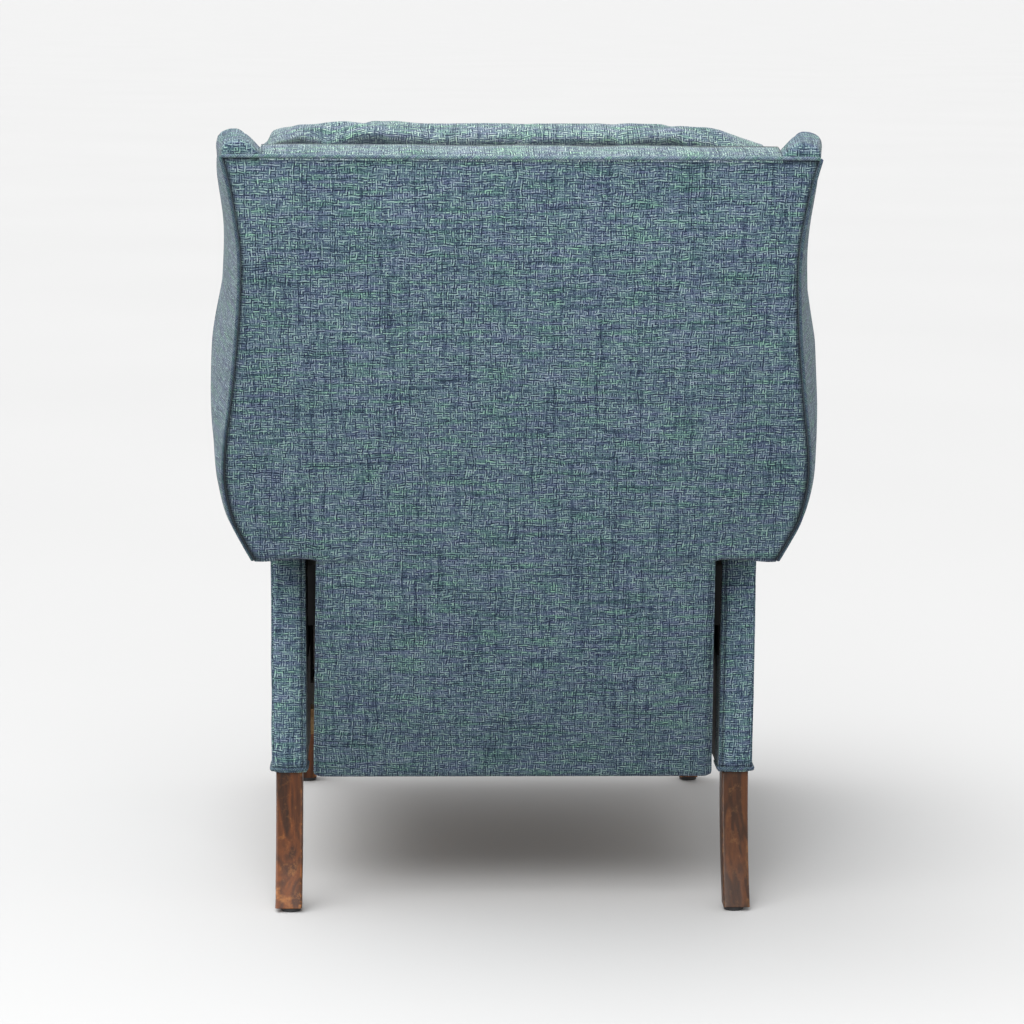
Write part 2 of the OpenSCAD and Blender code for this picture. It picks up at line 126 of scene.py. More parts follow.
def smoothstep(a, b, x):
    t = np.clip((np.asarray(x, float) - a) / (b - a), 0, 1)
    return t * t * (3 - 2 * t)


def value_noise(p, scale, seed=0):
    """Smooth 3-D noise from -1 to 1 at points p."""
    q = np.asarray(p, float) / scale
    i = np.floor(q).astype(np.int64)
    f = q - i
    f = f * f * (3 - 2 * f)
    out = np.zeros(len(q))
    for dx in (0, 1):
        for dy in (0, 1):
            for dz in (0, 1):
                h = ((i[:, 0] + dx) * 73856093 ^ (i[:, 1] + dy) * 19349663
                     ^ (i[:, 2] + dz) * 83492791 ^ (seed * 2654435761)) & 0x7FFFFFFF
                h = (h * 1103515245 + 12345) & 0x7FFFFFFF
                h = (h ^ (h >> 13)) * 1274126177 & 0x7FFFFFFF
                r = h / 0x7FFFFFFF * 2 - 1
                wgt = ((f[:, 0] if dx else 1 - f[:, 0]) * (f[:, 1] if dy else 1 - f[:, 1])
                       * (f[:, 2] if dz else 1 - f[:, 2]))
                out += wgt * r
    return out


def noise_at(point, scale, seed):
    return float(value_noise([point], scale, seed)[0])


# -------- mesh helpers
def edit_mesh(me, *steps):
    """Runs each step, a function of a bmesh, on the mesh."""
    bm = bmesh.new()
    bm.from_mesh(me)
    for step in steps:
        step(bm)
    bm.to_mesh(me)
    bm.free()


def recalc(bm):
    bmesh.ops.recalc_face_normals(bm, faces=bm.faces)


def split_ngons(bm):
    bmesh.ops.triangulate(bm, faces=[f for f in bm.faces if len(f.verts) > 4])


def fill_holes(bm):
    bmesh.ops.holes_fill(bm, edges=[e for e in bm.edges if e.is_boundary], sides=0)


def shade_smooth(me):
    me.polygons.foreach_set("use_smooth", [True] * len(me.polygons))


def new_mesh(name, verts, faces):
    me = bpy.data.meshes.new(name)
    me.from_pydata([tuple(map(float, v)) for v in verts], [], [tuple(f) for f in faces])
    return me


def add_object(name, me):
    ob = bpy.data.objects.new(name, me)
    scene.collection.objects.link(ob)
    return ob


def dress(ob, mat, body):
    """Gives a finished mesh its material and body."""
    shade_smooth(ob.data)
    ob.data.materials.append(mat)
    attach(ob, body)
    return ob


def piece(name, verts, faces, mat, body, slot):
    me = new_mesh(name, verts, faces)
    me.validate()
    edit_mesh(me, recalc)
    return dress(add_object(name, me), mat, body)


def coords(ob):
    v = np.empty(len(ob.data.vertices) * 3)
    ob.data.vertices.foreach_get("co", v)
    return v.reshape(-1, 3)


def set_coords(ob, v):
    ob.data.vertices.foreach_set("co", np.asarray(v, float).ravel())
    ob.data.update()


def weave_uv(ob, leaning=False, seed=0):
    """Lays the weave flat on each face, in metres, in the main plane nearest to it."""
    me = ob.data
    lay = me.uv_layers.get("weave") or me.uv_layers.new(name="weave")
    v = coords(ob)
    if leaning:
        v = back_local(v)
    off = np.random.default_rng(seed + 11).uniform(0, 5, 2)
    nf = len(me.polygons)
    nrm = np.empty(nf * 3)
    me.polygons.foreach_get("normal", nrm)
    nrm = nrm.reshape(-1, 3)
    if leaning:
        nrm = np.stack([nrm[:, 0], nrm[:, 1] * CR - nrm[:, 2] * SR,
                        nrm[:, 1] * SR + nrm[:, 2] * CR], -1)
    k = np.argmax(np.abs(nrm) * np.array([1, 1.05, 0.95]), axis=1)
    counts = np.empty(nf, np.int32)
    me.polygons.foreach_get("loop_total", counts)
    kl = np.repeat(k, counts)
    vi = np.empty(len(me.loops), np.int32)
    me.loops.foreach_get("vertex_index", vi)
    p = v[vi]
    uv = np.where((kl == 0)[:, None], p[:, [1, 2]],
                  np.where((kl == 1)[:, None], p[:, [0, 2]], p[:, [0, 1]])) + off
    lay.data.foreach_set("uv", uv.astype(np.float32).ravel())


def tube(name, pts, r, mat, body, closed=False, wobble=0.0, seed=0):
    """A piping tube along pts, its cover cut on the bias, with rounded ends when open."""
    sides, step = 10, 0.006
    p = np.asarray(pts, float)
    d = np.linalg.norm(np.diff(p, axis=0), axis=1)
    s = np.r_[0, np.cumsum(d)]
    if closed:
        s = np.append(s, s[-1] + np.linalg.norm(p[0] - p[-1]))
        p = np.vstack([p, p[0]])
    n = max(8, int(s[-1] / step))
    t = np.linspace(0, s[-1], n + 1)
    q = np.stack([np.interp(t, s, p[:, i]) for i in range(3)], -1)
    if closed:
        q, t = q[:-1], t[:-1]
    m = len(q)
    tan = np.roll(q, -1, 0) - np.roll(q, 1, 0) if closed else np.gradient(q, axis=0)
    tan /= np.linalg.norm(tan, axis=1)[:, None]
    nrm = np.zeros_like(q)
    ref = np.array([0, 0, 1.0]) if abs(tan[0][2]) < 0.9 else np.array([0, 1.0, 0])
    nrm[0] = np.cross(tan[0], ref)
    nrm[0] /= np.linalg.norm(nrm[0])
    for i in range(1, m):
        v = nrm[i - 1] - tan[i] * np.dot(nrm[i - 1], tan[i])
        nrm[i] = v / np.linalg.norm(v)
    if closed:
        # spread the leftover twist along the ring, so that the ends meet
        e = nrm[-1] - tan[0] * np.dot(nrm[-1], tan[0])
        b0 = np.cross(tan[0], nrm[0])
        twist = math.atan2(np.dot(e, b0), np.dot(e, nrm[0]))
        for i in range(m):
            a = -twist * i / m
            b = np.cross(tan[i], nrm[i])
            nrm[i] = nrm[i] * math.cos(a) + b * math.sin(a)
    bn = np.cross(tan, nrm)
    rad = r * (1 + wobble * value_noise(q, 0.03, seed))
    verts, faces, uvs = [], [], []
    for i in range(m):
        for j in range(sides):
            a = 2 * math.pi * j / sides
            verts.append(q[i] + rad[i] * (math.cos(a) * nrm[i] + math.sin(a) * bn[i]))
    for i in range(m if closed else m - 1):
        k = (i + 1) % m
        for j in range(sides):
            jj = (j + 1) % sides
            faces.append((i * sides + j, k * sides + j, k * sides + jj, i * sides + jj))
            u0, u1 = t[i], (t[k] if k else t[-1] + step)
            v0, v1 = j / sides * 2 * math.pi * r, (j + 1) / sides * 2 * math.pi * r
            uvs += [(u0, v0), (u1, v0), (u1, v1), (u0, v1)]
    if not closed:
        for i, sgn in ((0, -1), (m - 1, 1)):
            c = len(verts)
            verts.append(q[i] + sgn * tan[i] * r * 0.7)
            for j in range(sides):
                jj = (j + 1) % sides
                a, b = (jj, j) if sgn > 0 else (j, jj)
                faces.append((i * sides + a, i * sides + b, c))
                uvs += [(t[i], 0.001 * j)] * 3
    me = new_mesh(name, verts, faces)
    lay = me.uv_layers.new(name="weave")
    uv = np.array(uvs)
    c45 = math.sqrt(0.5)
    uv = np.stack([(uv[:, 0] - uv[:, 1]) * c45, (uv[:, 0] + uv[:, 1]) * c45], -1) + seed * 0.37
    lay.data.foreach_set("uv", uv.astype(np.float32).ravel())
    edit_mesh(me, recalc)
    return dress(add_object(name, me), mat, body)


def loft(loops, cap=True):
    """Closed skin over loops of equal length; returns vertices and faces."""
    n, m = len(loops[0]), len(loops)
    verts = [p for l in loops for p in l]
    faces = []
    for i in range(m - 1):
        for j in range(n):
            k = (j + 1) % n
            faces.append((i * n + j, (i + 1) * n + j, (i + 1) * n + k, i * n + k))
    if cap:
        for i in (0, m - 1):
            c = len(verts)
            verts.append(np.mean(loops[i], axis=0))
            for j in range(n):
                faces.append((i * n + j, i * n + (j + 1) % n, c))
    return verts, faces


def lofted(name, loops, mat, body, slot=UPH):
    return piece(name, *loft(loops), mat, body, slot)


def grid_faces(rows, cols, first=0):
    """Quads over rows of cols points, whose numbers start at first."""
    return [(a, a + 1, a + cols + 1, a + cols) for i in range(rows - 1)
            for a in range(first + i * cols, first + (i + 1) * cols - 1)]


def slab_faces(rows, cols):
    """Two equal sheets of rows by cols points, joined round the rim."""
    n = rows * cols
    rim = [i * cols for i in range(rows)] + [(rows - 1) * cols + j for j in range(1, cols)] \
        + [i * cols + cols - 1 for i in range(rows - 2, -1, -1)] + list(range(cols - 2, 0, -1))
    return grid_faces(rows, cols) + grid_faces(rows, cols, n) \
        + [(a, b, b + n, a + n) for a, b in zip(rim, rim[1:] + rim[:1])]


def rect(x0, x1, y0, y1):
    return [(x0, y0), (x1, y0), (x1, y1), (x0, y1)]


def level(plan, z):
    """Points (x, y) laid at height z."""
    return np.column_stack([plan[:, 0], plan[:, 1], np.full(len(plan), z)])


def upright(plan, y):
    """Points (x, z) stood up at y."""
    return np.column_stack([plan[:, 0], np.full(len(plan), y), plan[:, 1]])


def resample(loop, n):
    """A closed loop of points as n points evenly spaced along it."""
    p = np.vstack([loop, loop[:1]])
    s = np.r_[0, np.cumsum(np.linalg.norm(np.diff(p, axis=0), axis=1))]
    t = np.linspace(0, s[-1], n, endpoint=False)
    return np.stack([np.interp(t, s, p[:, i]) for i in range(p.shape[1])], -1)


def round_loop(pts, r, seg=4):
    """A polygon in the plane with its corners rounded; r is one radius or one per corner."""
    out = []
    n = len(pts)
    for i in range(n):
        a, b, c = map(np.array, (pts[i - 1], pts[i], pts[(i + 1) % n]))
        ri = r[i] if hasattr(r, "__len__") else r
        d1, d2 = a - b, c - b
        l1, l2 = np.linalg.norm(d1), np.linalg.norm(d2)
        k = min(ri, l1 * 0.49, l2 * 0.49)
        p, q = b + d1 / l1 * k, b + d2 / l2 * k
        for s in range(seg + 1):
            t = s / seg
            out.append((1 - t) ** 2 * p + 2 * t * (1 - t) * b + t * t * q)
    return np.array(out)


def painted_shade_attr(ob, value):
    """Painted shade in the seams, folds and shaded faces: one value from 0 to 1 on each vertex."""
    att = ob.data.attributes.get("seam") or ob.data.attributes.new("seam", "FLOAT", "POINT")
    att.data.foreach_set("value", np.clip(value, 0, 1).astype(np.float32))


def apply_all(ob):
    dg = bpy.context.evaluated_depsgraph_get()
    me = bpy.data.meshes.new_from_object(ob.evaluated_get(dg))
    ob.modifiers.clear()
    old = ob.data
    ob.data = me
    bpy.data.meshes.remove(old)
    shade_smooth(ob.data)


def subdivide(ob, levels=1):
    md = ob.modifiers.new("subd", "SUBSURF")
    md.levels = md.render_levels = levels
    apply_all(ob)


CLOTH_FRAMES = 20
PRESSURE = 4.0


def inflate(name, verts, faces, voxel, cap, lo, hi, fit, size_lo, size_hi, leaning=False):
    """Voxel remesh of a closed shape, blown up as cloth, each point's travel capped."""
    ob = add_object(name, new_mesh(name, verts, faces))
    rm = ob.modifiers.new("remesh", "REMESH")
    rm.mode, rm.voxel_size = "VOXEL", voxel
    apply_all(ob)
    base = coords(ob)
    cl = ob.modifiers.new("cloth", "CLOTH")
    st = cl.settings
    st.use_pressure = True
    st.uniform_pressure_force = PRESSURE
    st.effector_weights.gravity = 0
    st.quality = 4
    st.mass = 0.35
    st.tension_stiffness = st.compression_stiffness = 12
    st.shear_stiffness = 6
    st.bending_stiffness = 0.6
    cl.collision_settings.use_collision = False
    cl.point_cache.frame_start, cl.point_cache.frame_end = 1, CLOTH_FRAMES
    for f in range(1, CLOTH_FRAMES + 1):
        scene.frame_set(f)
    dg = bpy.context.evaluated_depsgraph_get()
    ev = ob.evaluated_get(dg)
    v = np.empty(len(ev.data.vertices) * 3)
    ev.data.vertices.foreach_get("co", v)
    v = v.reshape(-1, 3)
    ob.modifiers.clear()
    scene.frame_set(1)
    d = v - base
    ln = np.linalg.norm(d, axis=1)[:, None]
    base = base + d * np.minimum(1, cap / np.maximum(ln, 1e-9))
    q = back_local(base) if leaning else base
    # swelling draws the sides in, so the cover is let out again to its full size
    for i in fit:
        a, b = q[:, i].min(), q[:, i].max()
        q[:, i] = (q[:, i] - (a + b) / 2) * (size_hi[i] - size_lo[i]) / (b - a) \
            + (size_lo[i] + size_hi[i]) / 2
    q = np.minimum(np.maximum(q, lo), hi)
    set_coords(ob, back_pts(q) if leaning else q)
    return ob


def finish_soft(ob, mat, body, nodes, leaning=False, seed=0):
    """Last steps of an inflated piece: smoothing, finish, weave, body and what it stands for."""
    subdivide(ob)
    ob.data.materials.clear()
    weave_uv(ob, leaning, seed)
    dress(ob, mat, body)
    if nodes:
        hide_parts(*nodes)
    return ob


def tree_of(ob):
    return BVHTree.FromPolygons([v.co for v in ob.data.vertices],
                                [tuple(p.vertices) for p in ob.data.polygons])


def snug(tree, pts, dirs, sink):
    """Each point is cast along its direction onto the surface, then sunk a little past it."""
    out = []
    for p, d in zip(pts, dirs):
        d = Vector(d).normalized()
        hit = tree.ray_cast(Vector(p), d)
        out.append(np.array(hit[0] + d * sink if hit[0] is not None else Vector(p)))
    return np.array(out)


# -------- materials
def lin(c):
    """sRGB 0-255 to linear."""
    return tuple((x / 255 / 12.92 if x / 255 <= 0.04045 else ((x / 255 + 0.055) / 1.055) ** 2.4)
                 for x in c) + (1,)


class Nodes:
    """A Principled material and short names for the nodes that feed it."""

    def __init__(self, name):
        self.mat = bpy.data.materials.new(name)
        self.mat.use_nodes = True
        self.nt = self.mat.node_tree
        self.bsdf = self.nt.nodes["Principled BSDF"]

    def add(self, kind, **props):
        n = self.nt.nodes.new(kind)
        for k, v in props.items():
            setattr(n, k, v)
        return n

    def link(self, a, b):
        self.nt.links.new(a, b)

    def plug(self, value, socket):
        if isinstance(value, bpy.types.NodeSocket):
            self.link(value, socket)
        else:
            socket.default_value = value

    def put(self, name, value):
        """A colour, number or socket for an input of the shader."""
        self.plug(value, self.bsdf.inputs[name])

    def math(self, op, *terms):
        n = self.add("ShaderNodeMath", operation=op)
        for value, socket in zip(terms, n.inputs):
            self.plug(value, socket)
        return n.outputs[0]

    def plus(self, a, b):
        return self.math("ADD", a, b)

    def minus(self, a, b):
        return self.math("SUBTRACT", a, b)

    def times(self, a, b):
        return self.math("MULTIPLY", a, b)

    def mad(self, a, b, c):
        return self.math("MULTIPLY_ADD", a, b, c)

    def coords(self):
        return self.add("ShaderNodeTexCoord").outputs["Object"]

    def fac(self, name):
        return self.add("ShaderNodeAttribute", attribute_name=name).outputs["Fac"]

    def split(self, vec):
        n = self.add("ShaderNodeSeparateXYZ")
        self.link(vec, n.inputs[0])
        return n.outputs

    def clamp(self, value):
        n = self.add("ShaderNodeClamp")
        self.link(value, n.inputs["Value"])
        return n.outputs[0]

    def scaled(self, vec, scale):
        n = self.add("ShaderNodeMapping")
        n.inputs["Scale"].default_value = scale
        self.link(vec, n.inputs["Vector"])
        return n.outputs[0]

    def xyz(self, x, y, z=0.0):
        n = self.add("ShaderNodeCombineXYZ")
        for i, v in enumerate((x, y, z)):
            self.plug(v, n.inputs[i])
        return n.outputs[0]

    def white(self, vec):
        n = self.add("ShaderNodeTexWhiteNoise", noise_dimensions="2D")
        self.link(vec, n.inputs["Vector"])
        return n.outputs["Value"]

    def noise(self, vec, scale, detail=2.0, rough=0.5, dims="3D", distort=0.0):
        n = self.add("ShaderNodeTexNoise", noise_dimensions=dims)
        self.link(vec, n.inputs["Vector"])
        n.inputs["Scale"].default_value = scale
        n.inputs["Detail"].default_value = detail
        n.inputs["Roughness"].default_value = rough
        n.inputs["Distortion"].default_value = distort
        return n.outputs["Fac"]

    def ramp(self, fac, stops, interp="LINEAR"):
        n = self.add("ShaderNodeValToRGB")
        n.color_ramp.interpolation = interp
        e = n.color_ramp.elements
        while len(e) < len(stops):
            e.new(0.5)
        for el, (pos, col) in zip(e, stops):
            el.position, el.color = pos, col
        self.link(fac, n.inputs["Fac"])
        return n.outputs["Color"]

    def mix(self, fac, a, b, blend="MIX"):
        n = self.add("ShaderNodeMix", data_type="RGBA", blend_type=blend)
        self.plug(fac, n.inputs["Factor"])
        self.plug(a, n.inputs[6])
        self.plug(b, n.inputs[7])
        return n.outputs[2]

    def bump(self, height, strength, distance, normal=None):
        n = self.add("ShaderNodeBump")
        n.inputs["Strength"].default_value = strength
        n.inputs["Distance"].default_value = distance
        self.link(height, n.inputs["Height"])
        if normal is not None:
            self.link(normal, n.inputs["Normal"])
        return n.outputs["Normal"]


SEAM_SHADE = (0.008, 0.013, 0.019, 1)      # painted shade: the colour that seams, folds and shaded faces are darkened towards


def tweed(name, gain=1.0, pitch=0.00165, depth=1.0, tone=(1.0, 1.0, 1.0)):
    """Slubby two-tone weave in teal and blue-grey, from the weave UV in metres."""
    m = Nodes(name)
    uv = m.add("ShaderNodeUVMap", uv_map="weave").outputs[0]
    along_u, along_v = m.split(uv)[:2]
    # slow wander of the threads, so that they are not ruler straight
    wander = m.noise(uv, 30, 2, 0.6, "2D")
    wv = m.times(m.minus(wander, 0.5), 0.007)
    u = m.plus(along_u, wv)
    v = m.minus(along_v, wv)

    def thread(across, along, k, dash):
        """A light-and-dark pair of yarns, in runs of uneven strength."""
        row = m.math("FLOOR", m.math("DIVIDE", across, pitch))
        off = m.white(m.xyz(row, 17.0 + k))
        seg = m.math("FLOOR", m.mad(along, 1 / dash, m.times(off, 9.0)))
        shade = m.white(m.xyz(m.plus(row, 0.5 + k), m.plus(seg, 0.5)))
        turn = m.times(m.math("DIVIDE", across, pitch), math.pi)
        pair = m.math("SINE", turn)
        crown = m.math("ABSOLUTE", pair)
        return m.mad(pair, 0.42, m.times(shade, 0.62)), crown, shade

    weft, crown_h, dye_h = thread(v, u, 0.0, 0.0075)
    warp, crown_v, dye_v = thread(u, v, 40.0, 0.0065)
    patch = m.noise(uv, 190, 1.5, 0.6, "2D")
    over = m.clamp(m.mad(m.minus(patch, 0.49), 14.0, 0.5))
    under = m.minus(1.0, over)
    shade = m.plus(m.times(weft, over), m.times(warp, under))
    fuzz = m.noise(uv, 900, 2, 0.6, "2D")
    crown = m.plus(m.times(crown_h, over), m.times(crown_v, under))
    # long dark slubs, a few each way
    _, _, slub_h = thread(v, u, 80.0, 0.060)
    _, _, slub_v = thread(u, v, 120.0, 0.070)
    slub = m.plus(m.math("GREATER_THAN", slub_h, 0.90), m.math("GREATER_THAN", slub_v, 0.90))
    val = m.plus(m.times(shade, 0.62), m.times(fuzz, 0.40))
    val = m.mad(slub, -0.16, val)
    cloud = m.noise(uv, 9, 2, 0.5, "2D")
    val = m.mad(m.minus(cloud, 0.5), 0.07, val)
    val = m.mad(m.minus(val, 0.39), depth, 0.49)

    def c(r, g, b):
        return tuple(k * gain * t for k, t in zip(lin((r, g, b)), tone)) + (1,)

    col = m.ramp(val, [(0.14, c(23, 35, 50)), (0.38, c(54, 72, 87)), (0.54, c(80, 99, 110)),
                       (0.70, c(105, 125, 131)), (0.92, c(144, 163, 164))])
    # yarn lots: greener and more violet runs of weft
    lots = m.noise(m.scaled(uv, (16, 130, 1)), 1.0, 2, 0.6, "2D")
    tint = m.ramp(lots, [(0.33, (1.14, 0.90, 1.22, 1)), (0.47, (1, 0.99, 1.04, 1)),
                         (0.54, (0.98, 1.01, 1, 1)), (0.68, (0.78, 1.15, 0.80, 1))])
    col = m.mix(0.55, col, tint, "MULTIPLY")
    own = m.plus(m.times(dye_h, over), m.times(dye_v, under))
    dye = m.ramp(own, [(0.05, (1.12, 0.93, 1.16, 1)), (0.40, (0.98, 1.0, 1.05, 1)),
                       (0.65, (0.98, 1.02, 0.99, 1)), (0.95, (0.86, 1.08, 0.88, 1))])
    col = m.mix(0.42, col, dye, "MULTIPLY")
    # painted shade: the seam value darkens the weave towards the painted seam shade colour
    m.put("Base Color", m.mix(m.times(m.fac("seam"), 0.92), col, SEAM_SHADE))
    h = m.plus(m.times(crown, 0.6), m.times(fuzz, 0.6))
    n1 = m.bump(h, 0.55, 0.0007)
    lump = m.noise(uv, 60, 2, 0.6, "2D")
    m.put("Normal", m.bump(lump, 0.25, 0.0015, n1))
    m.put("Roughness", m.mad(fuzz, 0.14, 0.84))
    m.put("Specular IOR Level", 0.18)
    m.put("Sheen Weight", 0.15)
    m.put("Sheen Roughness", 0.45)
    m.put("Sheen Tint", (0.88, 0.92, 0.92, 1))
    return m.mat


def twill(name, dark, light, scale=900.0):
    """Plain lining cloth with a fine diagonal rib."""
    m = Nodes(name)
    tc = m.coords()
    x, y, z = m.split(tc)
    d = m.plus(m.plus(x, y), m.times(z, 0.7))
    rib = m.math("SINE", m.times(d, scale * 2.2))
    fuzz = m.noise(tc, 420, 3, 0.6)
    val = m.plus(m.times(rib, 0.18), fuzz)
    m.put("Base Color", m.ramp(val, [(0.25, dark), (0.75, light)]))
    m.put("Normal", m.bump(val, 0.4, 0.0005))
    m.put("Roughness", m.mad(fuzz, 0.12, 0.84))
    m.put("Specular IOR Level", 0.15)
    m.put("Sheen Weight", 0.15)
    return m.mat


def wood(name, stops, gloss=0.42, wear_and_highlight_colour=None, axis="Z"):
    """Straight-grained timber; the grain runs along one object axis."""
    m = Nodes(name)
    tc = m.coords()
    along = m.scaled(tc, {"Y": (26, 1.2, 26), "Z": (26, 26, 1.2)}[axis])
    big = m.noise(along, 1.0, 3, 0.55, distort=0.6)
    ringv = m.math("SINE", m.times(big, 34.0))
    fine = m.noise(along, 9.0, 4, 0.7)
    val = m.plus(m.times(ringv, 0.10),
                 m.plus(m.times(big, 0.55), m.times(fine, 0.42)))
    col = m.ramp(val, stops)
    blotch = m.noise(tc, 14, 2, 0.5)
    shade = m.ramp(blotch, [(0.3, (0.62, 0.6, 0.6, 1)), (0.7, (1.15, 1.1, 1.05, 1))])
    col = m.mix(0.35, col, shade, "MULTIPLY")
    # pale edges: partly real wear, partly painted highlight on the edges
    if wear_and_highlight_colour:
        chip = m.noise(tc, 70, 4, 0.7)
        k = m.times(m.minus(m.fac("wear_and_highlight"), 0.35), m.times(m.minus(chip, 0.46), 9.0))
        col = m.mix(m.clamp(k), col, wear_and_highlight_colour)
    m.put("Base Color", col)
    m.put("Normal", m.bump(fine, 0.25, 0.0004))
    m.put("Roughness", m.mad(fine, 0.25, gloss - 0.1))
    m.put("Specular IOR Level", 0.32)
    return m.mat


def metal(name, base, rough=0.32):
    """Zinc-plated steel with rolling marks and faint stains."""
    stained = tuple(c * k for c, k in zip(base, (0.66, 0.67, 0.68)))
    m = Nodes(name)
    tc = m.coords()
    roll = m.noise(m.scaled(tc, (300, 18, 300)), 1.0, 4, 0.6)
    spot = m.noise(tc, 38, 4, 0.65)
    m.put("Base Color", m.ramp(spot, [(0.3, stained + (1,)), (0.62, base + (1,))]))
    m.put("Metallic", 1.0)
    m.put("Roughness", m.plus(m.times(roll, 0.18), m.mad(spot, 0.22, rough - 0.16)))
    m.put("Normal", m.bump(roll, 0.15, 0.0003))
    return m.mat


def painted(name):
    """Black stoving enamel on steel, with an orange-peel skin and rubbed patches; kept near black
    so the mechanism reads as painted shade in the gaps.
    """
    m = Nodes(name)
    tc = m.coords()
    peel = m.noise(tc, 420, 2, 0.5)
    rub = m.noise(tc, 55, 4, 0.7)
    m.put("Base Color", m.ramp(rub, [(0.3, (0.002, 0.002, 0.002, 1)),
                                     (0.64, (0.005, 0.005, 0.0055, 1)),
                                     (0.82, (0.022, 0.021, 0.019, 1))]))
    m.put("Roughness", m.mad(rub, 0.28, 0.42))
    m.put("Normal", m.bump(peel, 0.2, 0.0003))
    m.put("Specular IOR Level", 0.10)
    return m.mat


def plastic(name, base, rough=0.5):
    """Moulded plastic, finely grained and a little uneven in colour."""
    m = Nodes(name)
    tc = m.coords()
    g = m.noise(tc, 900, 2, 0.5)
    s = m.noise(tc, 45, 3, 0.6)
    m.put("Base Color", m.ramp(s, [(0.3, tuple(x * 0.7 for x in base) + (1,)),
                                   (0.7, tuple(x * 1.5 for x in base) + (1,))]))
    m.put("Normal", m.bump(g, 0.3, 0.0003))
    m.put("Roughness", m.mad(s, 0.2, rough - 0.1))
    return m.mat


# painted light: lighter, warmer copies of the cloth for faces lit from above; this tone warms them
TOP_LIGHT_TONE = (1.07, 1.0, 0.89)
FABRIC = tweed("tweed", gain=1.06)
# rear posts: a lighter copy of the cloth as painted light
FABRIC_POST_LIT = tweed("tweed_post_lit", gain=1.42)
# piping and stitches: a darker copy of the cloth as painted shade
WELT_SHADED = tweed("tweed_welt_shaded", gain=0.86, pitch=0.0013, depth=0.55)
# piping along the top edge, lit from above: a lighter copy of the cloth as painted light
WELT_TOP = tweed("tweed_welt_top", gain=1.45, pitch=0.0013, depth=0.55, tone=TOP_LIGHT_TONE)
# top band and back cushion, lit from above: a lighter copy of the cloth as painted light
FABRIC_TOP_LIT = tweed("tweed_top_lit", gain=1.44, tone=TOP_LIGHT_TONE)
# seat cushion, lit from above: a lighter copy of the cloth as painted light
SEAT_CLOTH_LIT = tweed("tweed_seat_lit", gain=1.14, tone=(1.03, 1.0, 0.95))
DECK = twill("deck_twill", lin((22, 28, 34)), lin((54, 64, 72)))
CAMBRIC = twill("black_cambric", lin((7, 7, 8)), lin((24, 24, 27)), 1200)


def timber_stops(*colours):
    return [(pos, lin(c)) for pos, c in zip((0.25, 0.5, 0.78), colours)]


LEG = wood("walnut_leg", timber_stops((44, 24, 11), (84, 45, 19), (124, 67, 25)),
           wear_and_highlight_colour=lin((160, 104, 52)))
# a darker copy of the leg wood, as painted shade for the leg away from the light
LEG_SHADED = wood("walnut_leg_shaded", timber_stops((32, 18, 9), (62, 35, 17), (94, 53, 23)),
                wear_and_highlight_colour=lin((118, 80, 44)))
PINE = wood("frame_timber", timber_stops((150, 112, 70), (196, 156, 108), (222, 188, 140)),
            gloss=0.62, axis="Y")
ZINC = metal("zinc_steel", (0.62, 0.62, 0.60))
BLACK = plastic("black_plastic", (0.02, 0.02, 0.021))
SATIN = painted("black_steel")

by_slot = {"leg_wood": LEG, "frame_wood": PINE, "steel": ZINC, "glide": BLACK, "lining": CAMBRIC,
           "deck_cloth": DECK, UPH: FABRIC}
for sp in frame["record"]["subparts"]:
    ob = frame["nodes"][sp["node"]]
    finish = by_slot[sp["material_slot"]]
    if not ob.material_slots:
        ob.data.materials.append(finish)
    # only screws and springs stay bare steel; the rest of the steel gets the near-black enamel,
    # which also darkens the gap between arm and back as painted shade
    if finish is ZINC and not any(w in sp["node"] for w in ("screws", "springs")):
        finish = SATIN
    if sp["node"] == "footrest_board":
        finish = DECK
    for s in ob.material_slots:
        s.link = "OBJECT"
        s.material = finish

# -------- outside back panel
TAIL_HALF0, TAIL_HALF1 = 0.283, 0.2762      # half width of the narrow part, low and high
CORNER_R = 0.008      # its lower corners
STEP_W = 0.330        # where the narrow part ends
SHOULDER = 0.3605     # half width of the wide part's lower edge
WELT_OUT = 0.0012     # how far the piping's middle stands outside the edge


def tail_half(w):
    return TAIL_HALF0 - (TAIL_HALF0 - TAIL_HALF1) * w / STEP_W


def panel_rows():
    rows = [0.0, 0.0035, 0.008, 0.014]
    rows += list(np.arange(0.03, STEP_W - 0.012, 0.012))
    rows += [STEP_W - 0.006, STEP_W, STEP_W + 0.004, STEP_W + 0.010]
    rows += list(np.arange(STEP_W + 0.022, PANEL_L - 0.020, 0.012))
    rows += [PANEL_L - 0.013, PANEL_L - 0.009, PANEL_L - 0.006, PANEL_L - 0.003, PANEL_L]
    return rows


